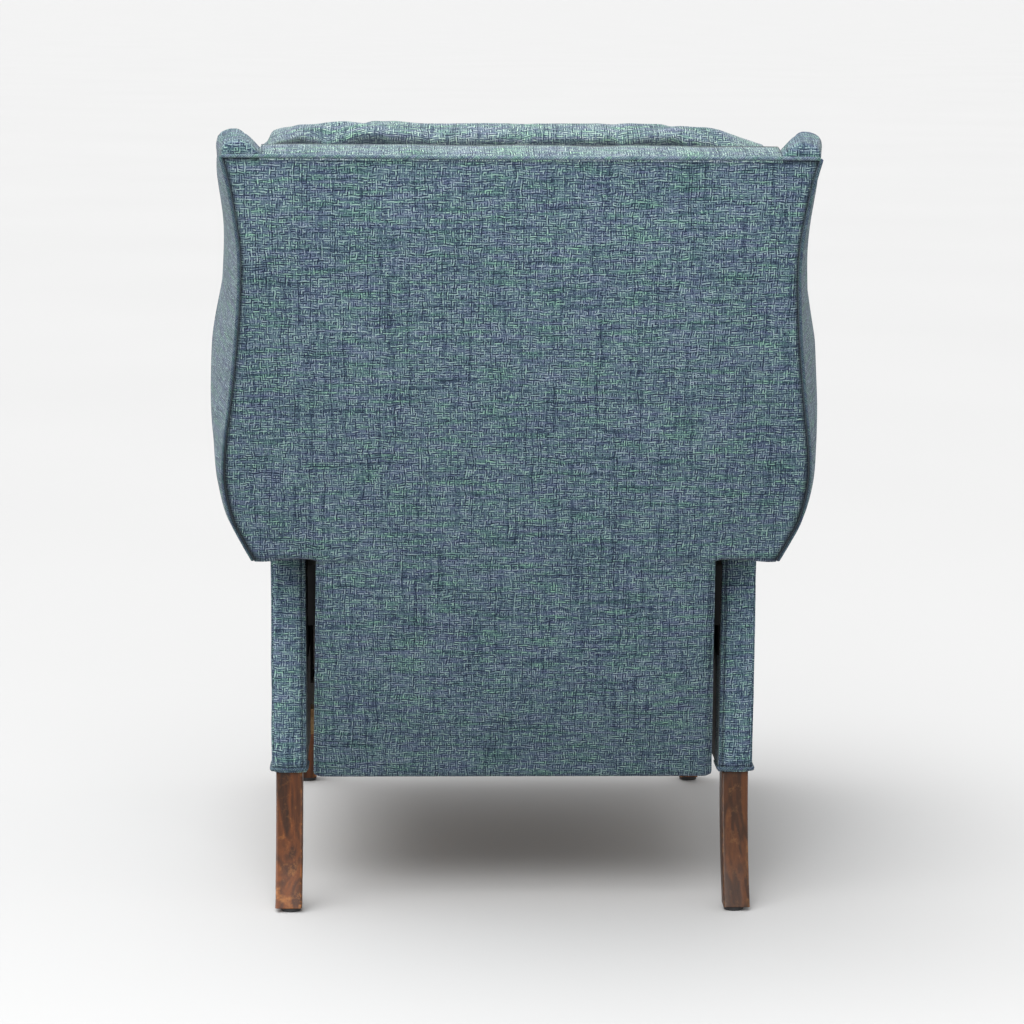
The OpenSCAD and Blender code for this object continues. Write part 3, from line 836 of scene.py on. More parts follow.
def outside_back():
    rows = panel_rows()
    n_in, n_ear = 52, 16
    s_in = np.linspace(-1, 1, n_in + 1)
    s_in = np.sign(s_in) * (1 - (1 - np.abs(s_in)) ** 1.25)
    grid, verts = {}, []

    def put(i, j, x, u, w):
        grid[(i, j)] = len(verts)
        verts.append((x, u, w))

    for i, w in enumerate(rows):
        tail = np.interp(w, [0, STEP_W], [TAIL_HALF0, TAIL_HALF1])
        rise = CORNER_R - min(w, CORNER_R)
        t = tail - (CORNER_R - math.sqrt(max(0.0, CORNER_R ** 2 - rise ** 2)))
        for j, s in enumerate(s_in):
            put(i, j, s * (t if w <= STEP_W else TAIL_HALF1), 0, w)
        if w >= STEP_W - 1e-9:
            half = half_at(w) if w > STEP_W else SHOULDER
            for k in range(1, n_ear + 1):
                x = TAIL_HALF1 + (half - TAIL_HALF1) * (1 - (1 - k / n_ear) ** 1.7)
                put(i, n_in + k, x, 0, w)
                put(i, -k, -x, 0, w)
    faces = []
    for i in range(len(rows) - 1):
        lo, hi = (-n_ear, n_in + n_ear) if rows[i] >= STEP_W - 1e-9 else (0, n_in)
        for j in range(lo, hi):
            faces.append((grid[(i, j)], grid[(i, j + 1)], grid[(i + 1, j + 1)], grid[(i + 1, j)]))
    v = np.array(verts)
    # shallow pillow between the edges, taut folds towards the shoulders and the lower corners
    w, ax = v[:, 2].copy(), np.abs(v[:, 0])
    edge = np.where(w > STEP_W, half_at(w), TAIL_HALF1 + 0.004) - ax
    edge = np.minimum(edge, np.minimum(w, PANEL_L - w))
    ear_edge = np.where((w >= STEP_W - 1e-9) & (ax > TAIL_HALF1), w - STEP_W, 1)
    edge = np.minimum(edge, ear_edge)
    puff = 0.0045 * smoothstep(0, 0.12, edge) + 0.0030 * smoothstep(0, 0.006, edge)
    puff += 0.0012 * value_noise(v * [1, 0, 1], 0.16, 3) * smoothstep(0, 0.05, edge)
    puff += 0.0005 * value_noise(v * [1, 0, 1], 0.045, 5) * smoothstep(0, 0.02, edge)
    # drag lines that fan out from the shoulders where the cover turns round the posts
    ang = np.arctan2(w - STEP_W, TAIL_HALF1 - ax + 1e-6)
    rad = np.hypot(w - STEP_W, TAIL_HALF1 - ax)
    puff += 0.0010 * np.sin(ang * 9) * np.exp(-rad / 0.07) * smoothstep(0, 0.012, edge)
    # hem fold just inside the lower sides
    side = tail_half(w) - ax
    fold = np.exp(-((side - 0.006) / 0.0028) ** 2) * (w < STEP_W - 0.004)
    v[:, 1] = puff - 0.0035 - 0.0016 * fold
    hem = np.exp(-(w - STEP_W) / 0.010) * (ax > TAIL_HALF1 + 0.004) * (w >= STEP_W - 1e-6)
    v[:, 2] += hem * 0.0022 * np.sin((ax - TAIL_HALF1) / 0.081 * math.pi * 1.6)
    ob = piece("outside_back", back_pts(v), faces, FABRIC, "back", UPH)
    shift = Vector(tuple(back_pts([0, -0.010, 0]) - back_pts([0, 0, 0])))

    def thicken(bm):
        rim = [e for e in bm.edges if e.is_boundary]
        ret = bmesh.ops.extrude_edge_only(bm, edges=rim)
        for g in ret["geom"]:
            if isinstance(g, bmesh.types.BMVert):
                g.co += shift

    def flat_ngons(bm):
        for f in bm.faces:
            f.smooth = len(f.verts) <= 4

    edit_mesh(ob.data, thicken, fill_holes, recalc, flat_ngons)
    q = back_local(coords(ob))
    w, ax = q[:, 2], np.abs(q[:, 0])
    wide = np.where(w > STEP_W - 0.001, half_at(w) - ax, 1.0)
    narrow = np.where(w < STEP_W - 0.001, tail_half(w) - ax, 1.0)
    # painted shade: dark lines along the piping and the top seam, in the hem fold, on the hidden
    # inner face and under the ears
    dark = np.exp(-(wide / (0.0050 + 0.0018 * smoothstep(0.52, 0.40, w))) ** 2)
    dark += np.exp(-((PANEL_L - w) / 0.0056) ** 2)
    dark += 0.35 * np.exp(-((narrow - 0.006) / 0.003) ** 2) + 0.5 * (q[:, 1] < -0.0065)
    ear = (ax > TAIL_HALF1 - 0.001) & (w >= STEP_W - 0.001)
    dark += 0.5 * np.exp(-((w - STEP_W) / 0.004) ** 2) * ear
    # painted shade: the panel darkens towards the bottom, where less light from above reaches it,
    # and is left lighter towards the top
    dark += np.interp(w, [0.0, 0.06, 0.2, 0.58, 0.84], [0.27, 0.25, 0.155, 0.08, 0.0])
    painted_shade_attr(ob, dark)
    weave_uv(ob, True, 1)
    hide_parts("outside_back_panel")


outside_back()

# returns that close the sides of the narrow part
for sgn, tag, side in SIDES:
    loops = []
    for w in np.linspace(0.006, 0.322, 22):
        x1 = TAIL_HALF1 + 0.0006 * noise_at((sgn, 0, w), 0.05, 8)
        sect = round_loop(rect(0.2705, x1, -0.074, -0.008), 0.002, 2)
        loops.append(back_pts(level(sect * (sgn, 1), w)))
    weave_uv(lofted(f"tail_side_{tag}", loops, FABRIC, "back"), True, 20 + sgn)

# piping along the sides and the top of the wide part
WELT_R = 0.0026
for sgn, tag, side in SIDES:
    ws = np.linspace(STEP_W + 0.001, PANEL_L, 80)
    xs = half_at(ws) + WELT_OUT
    pts = np.stack([sgn * xs, np.full(len(ws), -0.0022), ws], -1)
    welt = tube(f"side_welt_{tag}", back_pts(pts), WELT_R, WELT_SHADED, "back", wobble=0.06,
                seed=3 + sgn)
    # painted shade on the piping's inner side, where it meets the panel, darkest round the bulge at
    # the bottom
    q = back_local(coords(welt))
    inward = half_at(q[:, 2]) + WELT_OUT - np.abs(q[:, 0])
    painted_shade_attr(welt, smoothstep(-0.0006, 0.0012, inward)
              * (0.45 + 0.5 * smoothstep(0.62, 0.45, q[:, 2])))
xs = np.linspace(-0.394, 0.394, 90)
pts = np.stack([xs, np.full(90, -0.0022), PANEL_L + 0.0010 - 0.0006 * np.cos(xs * 9)], -1)
tube("top_welt", back_pts(pts), WELT_R, WELT_TOP, "back", wobble=0.06, seed=9)

# -------- wings
LOBE_TOP = 0.918


def nose_at(w, t=0.0):
    """The wing's rounded front edge at height w: its radius, its middle, and the wing's depth."""
    h, d = half_at(w) - t, depth_at(w) - t
    nose = min(WING_T / 2 - 0.003, (d - 0.050) / 2)
    return nose, h + flare_at(w) * (d - nose) - nose, d


def wing_section(w):
    """Outline of the right wing at height w: list of (x, u), from the rear outer edge forwards."""
    t = np.interp(w, [0.888, 0.900, 0.908, 0.914, LOBE_TOP], [0, 0.0005, 0.0015, 0.003, 0.006])
    h, flare = half_at(w) - t, flare_at(w)
    nose, xn, d = nose_at(w, t)
    k = smoothstep(0.868, 0.895, w)
    rear = -0.004 - t
    pts = [(h + 0.0005, rear)]
    for q in np.linspace(0.12, 0.88, 7):
        u = rear - (d - nose + rear) * q
        bulge = 0.0045 * math.sin(math.pi * q) * (1 - smoothstep(0.84, 0.89, w))
        pts.append((h + flare * (-u) + bulge, u))
    for i in range(9):
        a = math.radians(i * 22.5)
        pts.append((xn + nose * math.cos(a), -(d - nose) - nose * math.sin(a)))
    xi = min(xn - nose, wing_inner(w, t))
    for q in (0.3, 0.6, 0.9):
        x = (xn - nose) * (1 - q) + xi * q
        u = -(d - nose) * (1 - q) - WING_ROOT * q
        pts.append((x - 0.004 * math.sin(math.pi * q), u))
    back_u = -0.055 * (1 - k) + (rear - 0.001) * k
    pts.append((xi + (0.002 if k < 0.5 else 0.0), -WING_ROOT * (1 - k) + (-0.052) * k))
    pts.append((xi + 0.004, back_u))
    pts.append((h - 0.012, back_u))
    return np.array(pts)


def build_wing(sgn, tag, side):
    ws = np.r_[0.3305, 0.334, 0.340, np.arange(0.350, 0.885, 0.0105), 0.888, 0.893, 0.898, 0.903,
               0.907, 0.911, 0.914, 0.9165, LOBE_TOP]
    loops = [level(resample(wing_section(w), 72), w) for w in ws]
    top = loops[-1]
    for k in (0.93, 0.80, 0.62, 0.44, 0.26, 0.10):
        loops.append(top.mean(0) + (top - top.mean(0)) * k)
    L = np.array(loops)
    # the lowest end tucks in, like a folded cover
    for i, k in enumerate((0.90, 0.96, 0.99)):
        c = L[i].mean(0)
        L[i, :, :2] = c[:2] + (L[i, :, :2] - c[:2]) * k
    # the lobe's crest runs down towards the cushion, with a small nub outside
    x, w = L[..., 0], L[..., 2]
    crest = smoothstep(0.885, LOBE_TOP, w)
    drop = np.interp(float(half_at(0.90)) - x + FLARE_AT[1][-1] * np.clip(-L[..., 1] - 0.02, 0, 1),
                     [-0.002, 0.004, 0.010, 0.017, 0.026, 0.038, 0.046, 0.054, 0.062],
                     [0.004, 0.0020, 0.0002, -0.0020, -0.0022, 0.003, 0.011, 0.020, 0.024])
    soft = smoothstep(0.0, 0.012, -L[..., 1] - 0.004) * smoothstep(0.0, 0.016, 0.092 + L[..., 1])
    L[..., 2] = w - crest * (drop + 0.005 * (1 - soft))
    flat = L.reshape(-1, 3)
    bumps = 0.0014 * value_noise(flat, 0.09, 31 + sgn) + 0.0007 * value_noise(flat, 0.035, 37 + sgn)
    out = L - L.mean(axis=1, keepdims=True)
    out[..., 2] = 0
    out /= np.maximum(np.linalg.norm(out, axis=-1, keepdims=True), 1e-9)
    L = L + out * bumps.reshape(L.shape[:2])[..., None]
    L[..., 0] *= sgn
    ob = lofted(f"wing_{tag}", [back_pts(l) for l in L], FABRIC, "back")
    subdivide(ob)
    weave_uv(ob, True, 40 + sgn)
    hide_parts(f"{side}_wing")
    return ob


for sgn, tag, side in SIDES:
    tree = tree_of(build_wing(sgn, tag, side))
    # piping round the front edge of the outer face
    turn = math.radians(28)
    ca, sa = math.cos(turn), math.sin(turn)
    pts, dirs = [], []
    for w in np.linspace(0.340, 0.908, 96):
        nose, xn, d = nose_at(w)
        pts.append((sgn * (xn + nose * ca + 0.03), -(d - nose) - nose * sa - 0.016, w))
        dirs.append((-sgn * ca, sa, 0))
    seam = snug(tree, back_pts(pts), back_pts(dirs) - back_pts([0, 0, 0]), 0.0005)
    tube(f"wing_welt_{tag}", seam, 0.0034, WELT_SHADED, "back", wobble=0.05, seed=50 + sgn)

# -------- cover beside the cushion
for sgn, tag, side in SIDES:
    loops = []
    for w in np.r_[np.arange(0.336, 0.884, 0.009), 0.887]:
        u = -0.0570 - 0.0190 * smoothstep(0.452, 0.474, w)
        x0, x1 = 0.2682, float(wing_inner(w)) + 0.002
        ts = np.linspace(0, 1, 9)
        xs = x0 + (x1 - x0) * ts
        puff = 0.0012 * np.sin(math.pi * ts) + 0.0006 * value_noise(
            np.column_stack([xs, ts * 0, ts * 0 + w]), 0.03, 65 + sgn)
        row = [(sgn * x, u - b, w) for x, b in zip(xs, puff)]
        row += [(sgn * x, u + 0.0012, w) for x in xs[::-1]]
        loops.append(back_pts(row))
    weave_uv(lofted(f"inside_back_{tag}", loops, FABRIC, "back"), True, 66 + sgn)

# -------- top boxing band
BAND_HALF = 0.345
rowsu = np.r_[-0.0015, -0.004, -0.008, np.linspace(-0.014, -0.066, 10), -0.071, -0.0745]
loops = []
for x in np.linspace(-BAND_HALF, BAND_HALF, 70):
    top = [(u, PANEL_L - 0.001 + 0.006 * math.sin(math.pi * (-u) / 0.0760) ** 0.7
            + 0.0012 * noise_at((x, u, 0.0), 0.05, 61)) for u in rowsu]
    bot = [(-0.0745, 0.888), (-0.040, 0.888), (-0.0015, 0.889)]
    loops.append(back_pts([(x, u, w) for u, w in top + bot]))
band = lofted("top_band", loops, FABRIC_TOP_LIT, "back")
q = back_local(coords(band))
# painted shade on the band's front strip, behind the cushion's top
painted_shade_attr(band, 0.95 * smoothstep(-0.052, -0.058, q[:, 1]))
weave_uv(band, True, 60)
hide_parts("back_top_band")

# -------- back cushion
# its outline: height up the slope, half width
C_OUT = [(0.215, 0.262), (0.235, 0.268), (0.425, 0.268), (0.448, 0.274), (0.468, 0.312),
         (0.490, 0.324), (0.600, 0.329), (0.720, 0.328), (0.820, 0.333), (0.860, 0.339),
         (0.905, 0.340)]
# its top edge, full in the middle and falling at both ends: x, height over CREST_W
CREST_W = 0.9140
CREST = [(-0.345, -0.040), (-0.326, -0.031), (-0.305, -0.022), (-0.287, -0.014),
         (-0.273, -0.0080), (-0.250, -0.0045), (-0.12, -0.0030), (0.03, -0.0025),
         (0.13, -0.0042), (0.165, -0.0015), (0.20, 0.0), (0.245, -0.002), (0.300, -0.007),
         (0.322, -0.013), (0.334, -0.020), (0.342, -0.032)]


def bin_max(at, values, start, span, n, floor):
    """The largest value in each of n equal bins of at, and the middles of the bins."""
    k = np.clip(((at - start) / span * n).astype(int), 0, n - 1)
    top = np.full(n, floor)
    np.maximum.at(top, k, values)
    return top, start + (np.arange(n) + 0.5) / n * span


def back_cushion():
    inset = 0.013
    co = np.array(C_OUT)
    uc, ud = -0.1455, 0.139     # middle and full thickness
    loops = []
    for w in np.linspace(0.217, 0.902, 60):
        hw = float(np.interp(w, co[:, 0], co[:, 1])) - inset
        end = min((w - 0.215) / 0.03, (0.907 - w) / 0.03, 1)
        th = 0.5 * (1 - inset / 0.07) * (0.62 + 0.38 * math.sqrt(max(0, 1 - (1 - end) ** 2)))
        b = ud * th
        sect = round_loop(rect(-hw, hw, uc - b, uc + b), min(0.045, b * 0.8), 5)
        loops.append(back_pts(level(sect, w)))
    lo = np.array([-0.350, -0.222, 0.213])
    hi = np.array([0.350, -0.0765, 0.9135])
    ob = inflate("back_cushion_soft", *loft(loops), 0.0062, 0.026, lo, hi, (2,), (0, 0, 0.215),
                 (0, 0, 0.908), leaning=True)
    q = back_local(coords(ob))
    # each level is let out sideways to the cover's own width there
    wide, mid = bin_max(q[:, 2], np.abs(q[:, 0]), 0.21, 0.70, 60, 0.0)
    want = np.interp(mid, co[:, 0], co[:, 1])
    ends = smoothstep(0.215, 0.232, mid) * (1 - 0.10 * smoothstep(0.890, 0.908, mid))
    grow = np.where(wide > 0.1, want * (0.93 + 0.07 * ends) / np.maximum(wide, 0.1), 1.0)
    grow = np.convolve(np.r_[grow[:2], grow, grow[-2:]], np.ones(5) / 5, "valid")
    q[:, 0] *= np.interp(q[:, 2], mid, grow) * (1 + 0.028 * smoothstep(-0.10, -0.17, q[:, 1])
                                                * smoothstep(0.47, 0.52, q[:, 2]))
    # sewn channels across the front, then fuller rolls between them
    front = smoothstep(-0.13, -0.19, q[:, 1])
    for wc, dep in ((0.430, 0.016), (0.640, 0.018)):
        off = q[:, 2] - wc - 0.004 * np.sin(q[:, 0] * 14)
        valley, stitch = np.exp(-(off / 0.016) ** 2), np.exp(-(off / 0.0035) ** 2)
        q[:, 1] += front * (dep * valley + 0.004 * stitch) \
            * smoothstep(0.345, 0.31, np.abs(q[:, 0]))
    want = CREST_W + np.interp(q[:, 0], *zip(*CREST))
    top, mid = bin_max(q[:, 0], q[:, 2], -0.35, 0.70, 48, -1.0)
    top = np.interp(q[:, 0], mid[top > 0.8], top[top > 0.8])
    q[:, 2] += np.clip(want - top, -0.04, 0.03) * smoothstep(0.80, 0.89, q[:, 2])
    # pucker at the folded corner on the sitter's left, gathers along the top rear edge
    corner = np.exp(-(((q[:, 0] - 0.318) / 0.022) ** 2 + ((q[:, 2] - 0.888) / 0.03) ** 2))
    q[:, 0] += -0.006 * corner * np.cos((q[:, 2] - 0.88) * 300)
    rear = smoothstep(-0.14, -0.09, q[:, 1])
    gather = rear * smoothstep(0.86, 0.90, q[:, 2])
    q[:, 2] += gather * 0.0012 * np.sin(q[:, 0] * 190 + 3 * np.sin(q[:, 0] * 23))
    q[:, 1] += 0.0018 * value_noise(q, 0.10, 71) + 0.0008 * value_noise(q, 0.04, 72)
    q[:, 2] += 0.0016 * value_noise(q, 0.085, 73) * smoothstep(0.3, 0.4, q[:, 2])
    q = np.minimum(np.maximum(q, lo), hi + np.array([0, 0, 0.004]))
    set_coords(ob, back_pts(q))
    # painted shadow on the rear strip just under the cushion's top edge
    painted_shade_attr(ob, 0.9 * smoothstep(-0.120, -0.104, q[:, 1]) * smoothstep(0.9062, 0.9040, q[:, 2])
              * smoothstep(0.885, 0.893, q[:, 2]))
    finish_soft(ob, FABRIC_TOP_LIT, "back", ["back_cushion"], True, 70)


back_cushion()

# -------- seat cushion
def boxed_pad(name, lo, hi, inset, corner, edge, voxel, cap, grow, nodes, body, mat,
              flat_bottom=None, seed=0, crown=0.0, axis=2):
    """A boxed cushion: rounded-rectangle loops along one axis, inflated and clamped."""
    lo, hi = np.array(lo), np.array(hi)
    a, b = [i for i in range(3) if i != axis]
    c = (lo + hi) / 2
    half = (hi - lo) / 2 - inset
    loops = []
    for s in np.linspace(-1, 1, 15):
        past = max(0.0, (abs(s) * half[axis] - (half[axis] - edge)) / edge)
        k = edge * (1 - math.sqrt(max(0.0, 1 - past ** 2)))
        ha, hb = half[a] - k, half[b] - k
        sect = round_loop(rect(-ha, ha, -hb, hb), corner, 6)
        L = np.zeros((len(sect), 3))
        L[:, a], L[:, b] = c[a] + sect[:, 0], c[b] + sect[:, 1]
        L[:, axis] = c[axis] + s * half[axis]
        loops.append(L)
    glo, ghi = lo - grow, hi + grow
    if flat_bottom is not None:
        glo[axis] = flat_bottom
    ob = inflate(name, *loft(loops), voxel, cap, glo, ghi, (a, b), lo, hi)
    q = coords(ob)
    ta = (q[:, a] - c[a]) / half[a]
    tb = (q[:, b] - c[b]) / half[b]
    dome = np.clip(1 - ta ** 2, 0, 1) * np.clip(1 - tb ** 2, 0, 1)
    q[:, axis] += crown * dome ** 0.6 * smoothstep(c[axis], hi[axis], q[:, axis])
    lumps = 0.0016 * value_noise(q, 0.11, seed) + 0.0007 * value_noise(q, 0.04, seed + 1)
    q[:, axis] += lumps * smoothstep(c[axis], hi[axis], q[:, axis])
    q = np.minimum(np.maximum(q, glo), ghi + np.eye(3)[axis] * 0.012)
    set_coords(ob, q)
    return finish_soft(ob, mat, body, nodes, seed=seed)


def rim_welt(name, ob, c, ha, hb, height, r, body, axis, seed):
    """Piping round a boxed cushion at one height, laid on its surface."""
    a, b = [i for i in range(3) if i != axis]
    tree = tree_of(ob)
    sect = resample(round_loop(rect(-ha, ha, -hb, hb), 0.045, 8), 260)
    core = sect * 0.5
    if min(ha, hb) > 0.07:
        core = np.clip(sect, (-ha + 0.06, -hb + 0.06), (ha - 0.06, hb - 0.06))
    d = core - sect
    d /= np.linalg.norm(d, axis=1)[:, None]
    P, D = np.zeros((len(sect), 3)), np.zeros((len(sect), 3))
    for i, k in enumerate((a, b)):
        P[:, k] = c[k] + sect[:, i] - d[:, i] * 0.05
        D[:, k] = d[:, i]
    P[:, axis] = height
    pts = snug(tree, P, D, 0.0006)
    k = np.ones(9) / 9
    for i in range(3):
        pts[:, i] = np.convolve(np.r_[pts[-4:, i], pts[:, i], pts[:4, i]], k, "valid")
    tube(name, pts, r, WELT_SHADED, body, closed=True, wobble=0.05, seed=seed)


slo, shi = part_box("seat_cushion")
seat = boxed_pad("seat_cushion_soft", slo, shi, 0.009, 0.045, 0.030, 0.0058, 0.024, 0.004,
                 ["seat_cushion"], "seat", SEAT_CLOTH_LIT, flat_bottom=slo.z + 0.0005, seed=80,
                 crown=0.014)
for height, tag, seed in ((slo.z + 0.016, "low", 90), (shi.z - 0.018, "top", 91)):
    rim_welt(f"seat_welt_{tag}", seat, (np.array(slo) + np.array(shi)) / 2,
             (shi.x - slo.x) / 2, (shi.y - slo.y) / 2, height, 0.0038, "seat", 2, seed)

# -------- footrest pad
flo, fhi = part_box("footrest_pad")
rest = boxed_pad("footrest_pad_soft", flo, (fhi.x, -0.4125, fhi.z), 0.0045, 0.03, 0.012, 0.0048,
                 0.012, 0.003, [], "footrest", FABRIC, seed=100, axis=1)
q = coords(rest)
c, h = (np.array(flo) + np.array(fhi)) / 2, (np.array(fhi) - np.array(flo)) / 2
dome = np.clip(1 - ((q[:, 0] - c[0]) / h[0]) ** 4, 0, 1) \
    * np.clip(1 - ((q[:, 2] - c[2]) / h[2]) ** 2, 0, 1)
q[:, 1] -= 0.007 * dome ** 0.7 * smoothstep(-0.425, -0.440, q[:, 1])
q[:, 1] = np.clip(q[:, 1], flo.y - 0.008, -0.4122)
set_coords(rest, q)
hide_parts("footrest_pad")
rim_welt("footrest_welt", rest, c, h[0], h[2], -0.4300, 0.0034, "footrest", 1, 103)

# -------- linings, deck, dust cover
PAD_REAR, PAD_FRONT = -0.0565, -0.0735
xs = np.linspace(-0.2675, 0.2675, 48)
loops = []
for w in np.linspace(0.016, 0.878, 74):
    # tufted where the spring wires press through
    tuft = [1 - abs(math.sin(x * 38)) ** 0.5 * abs(math.sin(w * 38)) ** 0.5 for x in xs]
    loops.append(back_pts([(x, PAD_REAR - 0.004 * t, w) for x, t in zip(xs, tuft)]
                          + [(x, PAD_FRONT, w) for x in xs[::-1]]))
pad = lofted("spring_pad", loops, CAMBRIC, "back", "lining")
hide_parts("back_lining")

dlo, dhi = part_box("seat_deck")
ys, xs = np.linspace(dlo.y, dhi.y, 60), np.linspace(dlo.x, dhi.x, 52)
loops = []
for y in ys:
    ty = min(1, (y - dlo.y) / 0.012, (dhi.y - y) / 0.012)
    prof = []
    for x in xs:
        tx = min(1, (x - dlo.x) / 0.012, (dhi.x - x) / 0.012)
        k = math.sqrt(max(0.0, min(tx, ty)) + 1e-4)
        n = noise_at((x, y, 0.0), 0.06, 111)
        prof.append((x, y, dlo.z + 0.003 + (dhi.z - dlo.z - 0.003) * k * (0.90 + 0.07 * n)))
    loops.append(prof + [(x, y, dlo.z + 0.0003) for x in xs[::-1]])
deck = lofted("deck_pad", loops, DECK, "seat", "deck_cloth")
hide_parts("seat_deck")

# border of upholstery over the front of the seat frame, under the cushion
BZ0, BZ1 = 0.3125, 0.3962
verts = []
bx, bz = np.linspace(-0.2605, 0.2605, 90), np.linspace(BZ0, BZ1, 14)
for y, puff in ((-0.3952, 0.0), (-0.3975, 1.0)):
    for x in bx:
        for z in bz:
            k = math.sin(math.pi * (z - BZ0) / 0.0837) ** 0.5 if BZ0 < z < BZ1 else 0.0
            n = noise_at((x, 0.0, z), 0.04, 118)
            verts.append((x, y - puff * (0.0012 * k + 0.0005 * k * n), z))
border = piece("seat_border", verts, slab_faces(len(bx), len(bz)), FABRIC, "seat", UPH)
weave_uv(border, seed=119)

plo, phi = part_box("seat_dust_cover")
nx, ny = 60, 70
verts = []
for j in range(ny + 1):
    for i in range(nx + 1):
        s, t = i / nx, j / ny
        x, y = plo.x + (phi.x - plo.x) * s, plo.y + (phi.y - plo.y) * t
        sag = (math.sin(math.pi * s) * math.sin(math.pi * t)) ** 0.6
        e = min(s, 1 - s, t, 1 - t)
        ripple = 0.0006 * math.sin((s + t * 0.2) * 170) * math.exp(-e / 0.03) * min(1, e / 0.006)
        verts.append((x, y, plo.z + 0.0008 - 0.007 * sag + ripple))
dust = piece("dust_cover", verts, grid_faces(ny + 1, nx + 1), CAMBRIC, "seat", "lining")
sol = dust.modifiers.new("thick", "SOLIDIFY")
sol.thickness, sol.offset = 0.0006, 0
apply_all(dust)
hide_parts("seat_dust_cover")

# -------- arms
ROLL_X, ROLL_Z, ROLL_R = 0.344, 0.572, 0.058
ARM_Y0, ARM_Y1 = -0.4300, 0.2655


def arm_section(y):
    """Section of the right arm's cover: outside face, roll, inside pad, then round the hollow."""
    lift = smoothstep(0.128, 0.139, y)
    zi = 0.408 * (1 - lift) + 0.534 * lift
    full = math.sin(math.pi * min(1, max(0, (y - ARM_Y0) / (ARM_Y1 - ARM_Y0)))) ** 0.3
    pts = [(0.3405, 0.1905)]
    for z in np.linspace(0.200, 0.495, 22):
        pts.append((0.3410 + 0.0025 * full * math.sin(math.pi * (z - 0.19) / 0.33), z))
    pts.append((0.3415, 0.5085))
    a0 = math.asin((0.514 - ROLL_Z) / ROLL_R * 0.998)
    a_end = math.pi + math.asin(0.52)
    pts.append((0.3470, 0.5150))
    for a in np.linspace(a0 + 0.28, a_end, 34):
        r = ROLL_R + 0.0012 * full
        pts.append((ROLL_X + r * math.cos(a), ROLL_Z + r * math.sin(a)))
    for z in np.linspace(0.535, zi + 0.008, 10):
        swell = math.sin(math.pi * min(1, max(0, (z - zi) / 0.14)))
        pts.append((0.2800 - 0.0022 * full * swell, z))
    pts += [(0.2815, zi + 0.001), (0.2845, zi - 0.0005), (0.2935, zi), (0.2938, zi + 0.004)]
    pts += [(0.2938, 0.575), (0.3243, 0.575), (0.3243, 0.40), (0.3243, 0.1915), (0.3255, 0.1902)]
    return np.array(pts)


def arm_cover(sgn, tag, side):
    loops = []
    for y in np.r_[ARM_Y0, ARM_Y0 + 0.003, np.linspace(ARM_Y0 + 0.01, 0.122, 56),
                   np.linspace(0.127, 0.141, 6), np.linspace(0.150, ARM_Y1 - 0.006, 12),
                   ARM_Y1 - 0.002, ARM_Y1]:
        L = upright(arm_section(y), y)
        n = (0.0012 * value_noise(L * [1, 0.6, 1], 0.10, 121 + sgn)
             + 0.0006 * value_noise(L, 0.04, 123 + sgn))
        d = L - np.array([0.317, y, 0.45])
        d[:, 1] = 0
        d /= np.linalg.norm(d, axis=1)[:, None]
        outer = (L[:, 0] > 0.33) | (L[:, 2] > 0.577)
        L += d * (n * outer)[:, None]
        L[:, 0] *= sgn
        loops.append(L)
    v, f = loft(loops, cap=False)
    n = len(loops[0])
    f += [tuple(range(n)), tuple(range(len(v) - 1, len(v) - n - 1, -1))]
    arm = piece(f"arm_{tag}", v, f, FABRIC, "base", UPH)
    edit_mesh(arm.data, split_ngons)
    weave_uv(arm, seed=130 + sgn)
    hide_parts(f"{side}_outside_arm_panel", f"{side}_inside_arm_panel", f"{side}_arm_roll")


def arm_front(sgn, tag, side):
    """Scroll panel on the front of the arm, puffed inside its piping."""
    n, mid_x = 150, 0.3125
    turn = np.linspace(math.radians(-76), math.radians(186), 40)
    out = [(0.281, 0.192), (0.343, 0.192), (0.3455, 0.505)]
    out += [(ROLL_X + 0.0595 * math.cos(a), ROLL_Z + 0.0595 * math.sin(a)) for a in turn]
    out = resample(np.array(out + [(0.281, 0.545)]), n)
    # middle line, where both sides of the outline meet in the same points
    z = np.round(np.clip(out[:, 1], 0.222, ROLL_Z) / 0.010) * 0.010
    spine = np.column_stack([mid_x + (ROLL_X - mid_x) * smoothstep(0.50, ROLL_Z, z), z])
    d = spine - out
    ln = np.linalg.norm(d, axis=1)[:, None]
    rings = [upright((out + d / ln * np.minimum(inset, ln * 0.9)) * (sgn, 1), y)
             for inset, y in ((0.0, -0.4303), (0.0, -0.4370), (0.0015, -0.4400), (0.005, -0.4418),
                              (0.011, -0.4432), (0.018, -0.4441), (0.025, -0.4445))]
    rings.append(upright(spine * (sgn, 1), -0.4449))
    v, f = loft(rings, cap=False)
    front = piece(f"arm_front_{tag}", v, f + [tuple(range(n))], FABRIC, "base", UPH)

    def weld(bm):
        bmesh.ops.remove_doubles(bm, verts=bm.verts, dist=0.0004)
        bmesh.ops.dissolve_degenerate(bm, edges=bm.edges, dist=0.0003)

    edit_mesh(front.data, weld, fill_holes, split_ngons, recalc)
    weave_uv(front, seed=140 + sgn)
    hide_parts(f"{side}_arm_front_panel")
    tube(f"arm_front_welt_{tag}", upright(out * (sgn, 1), -0.4385), 0.0036, WELT_SHADED, "base",
         closed=True, wobble=0.05, seed=150 + sgn)


POST = rect(0.2925, 0.3425, 0.2210, 0.2695)
FOLD_X = 0.2985       # stitched fold near the post's inner edge


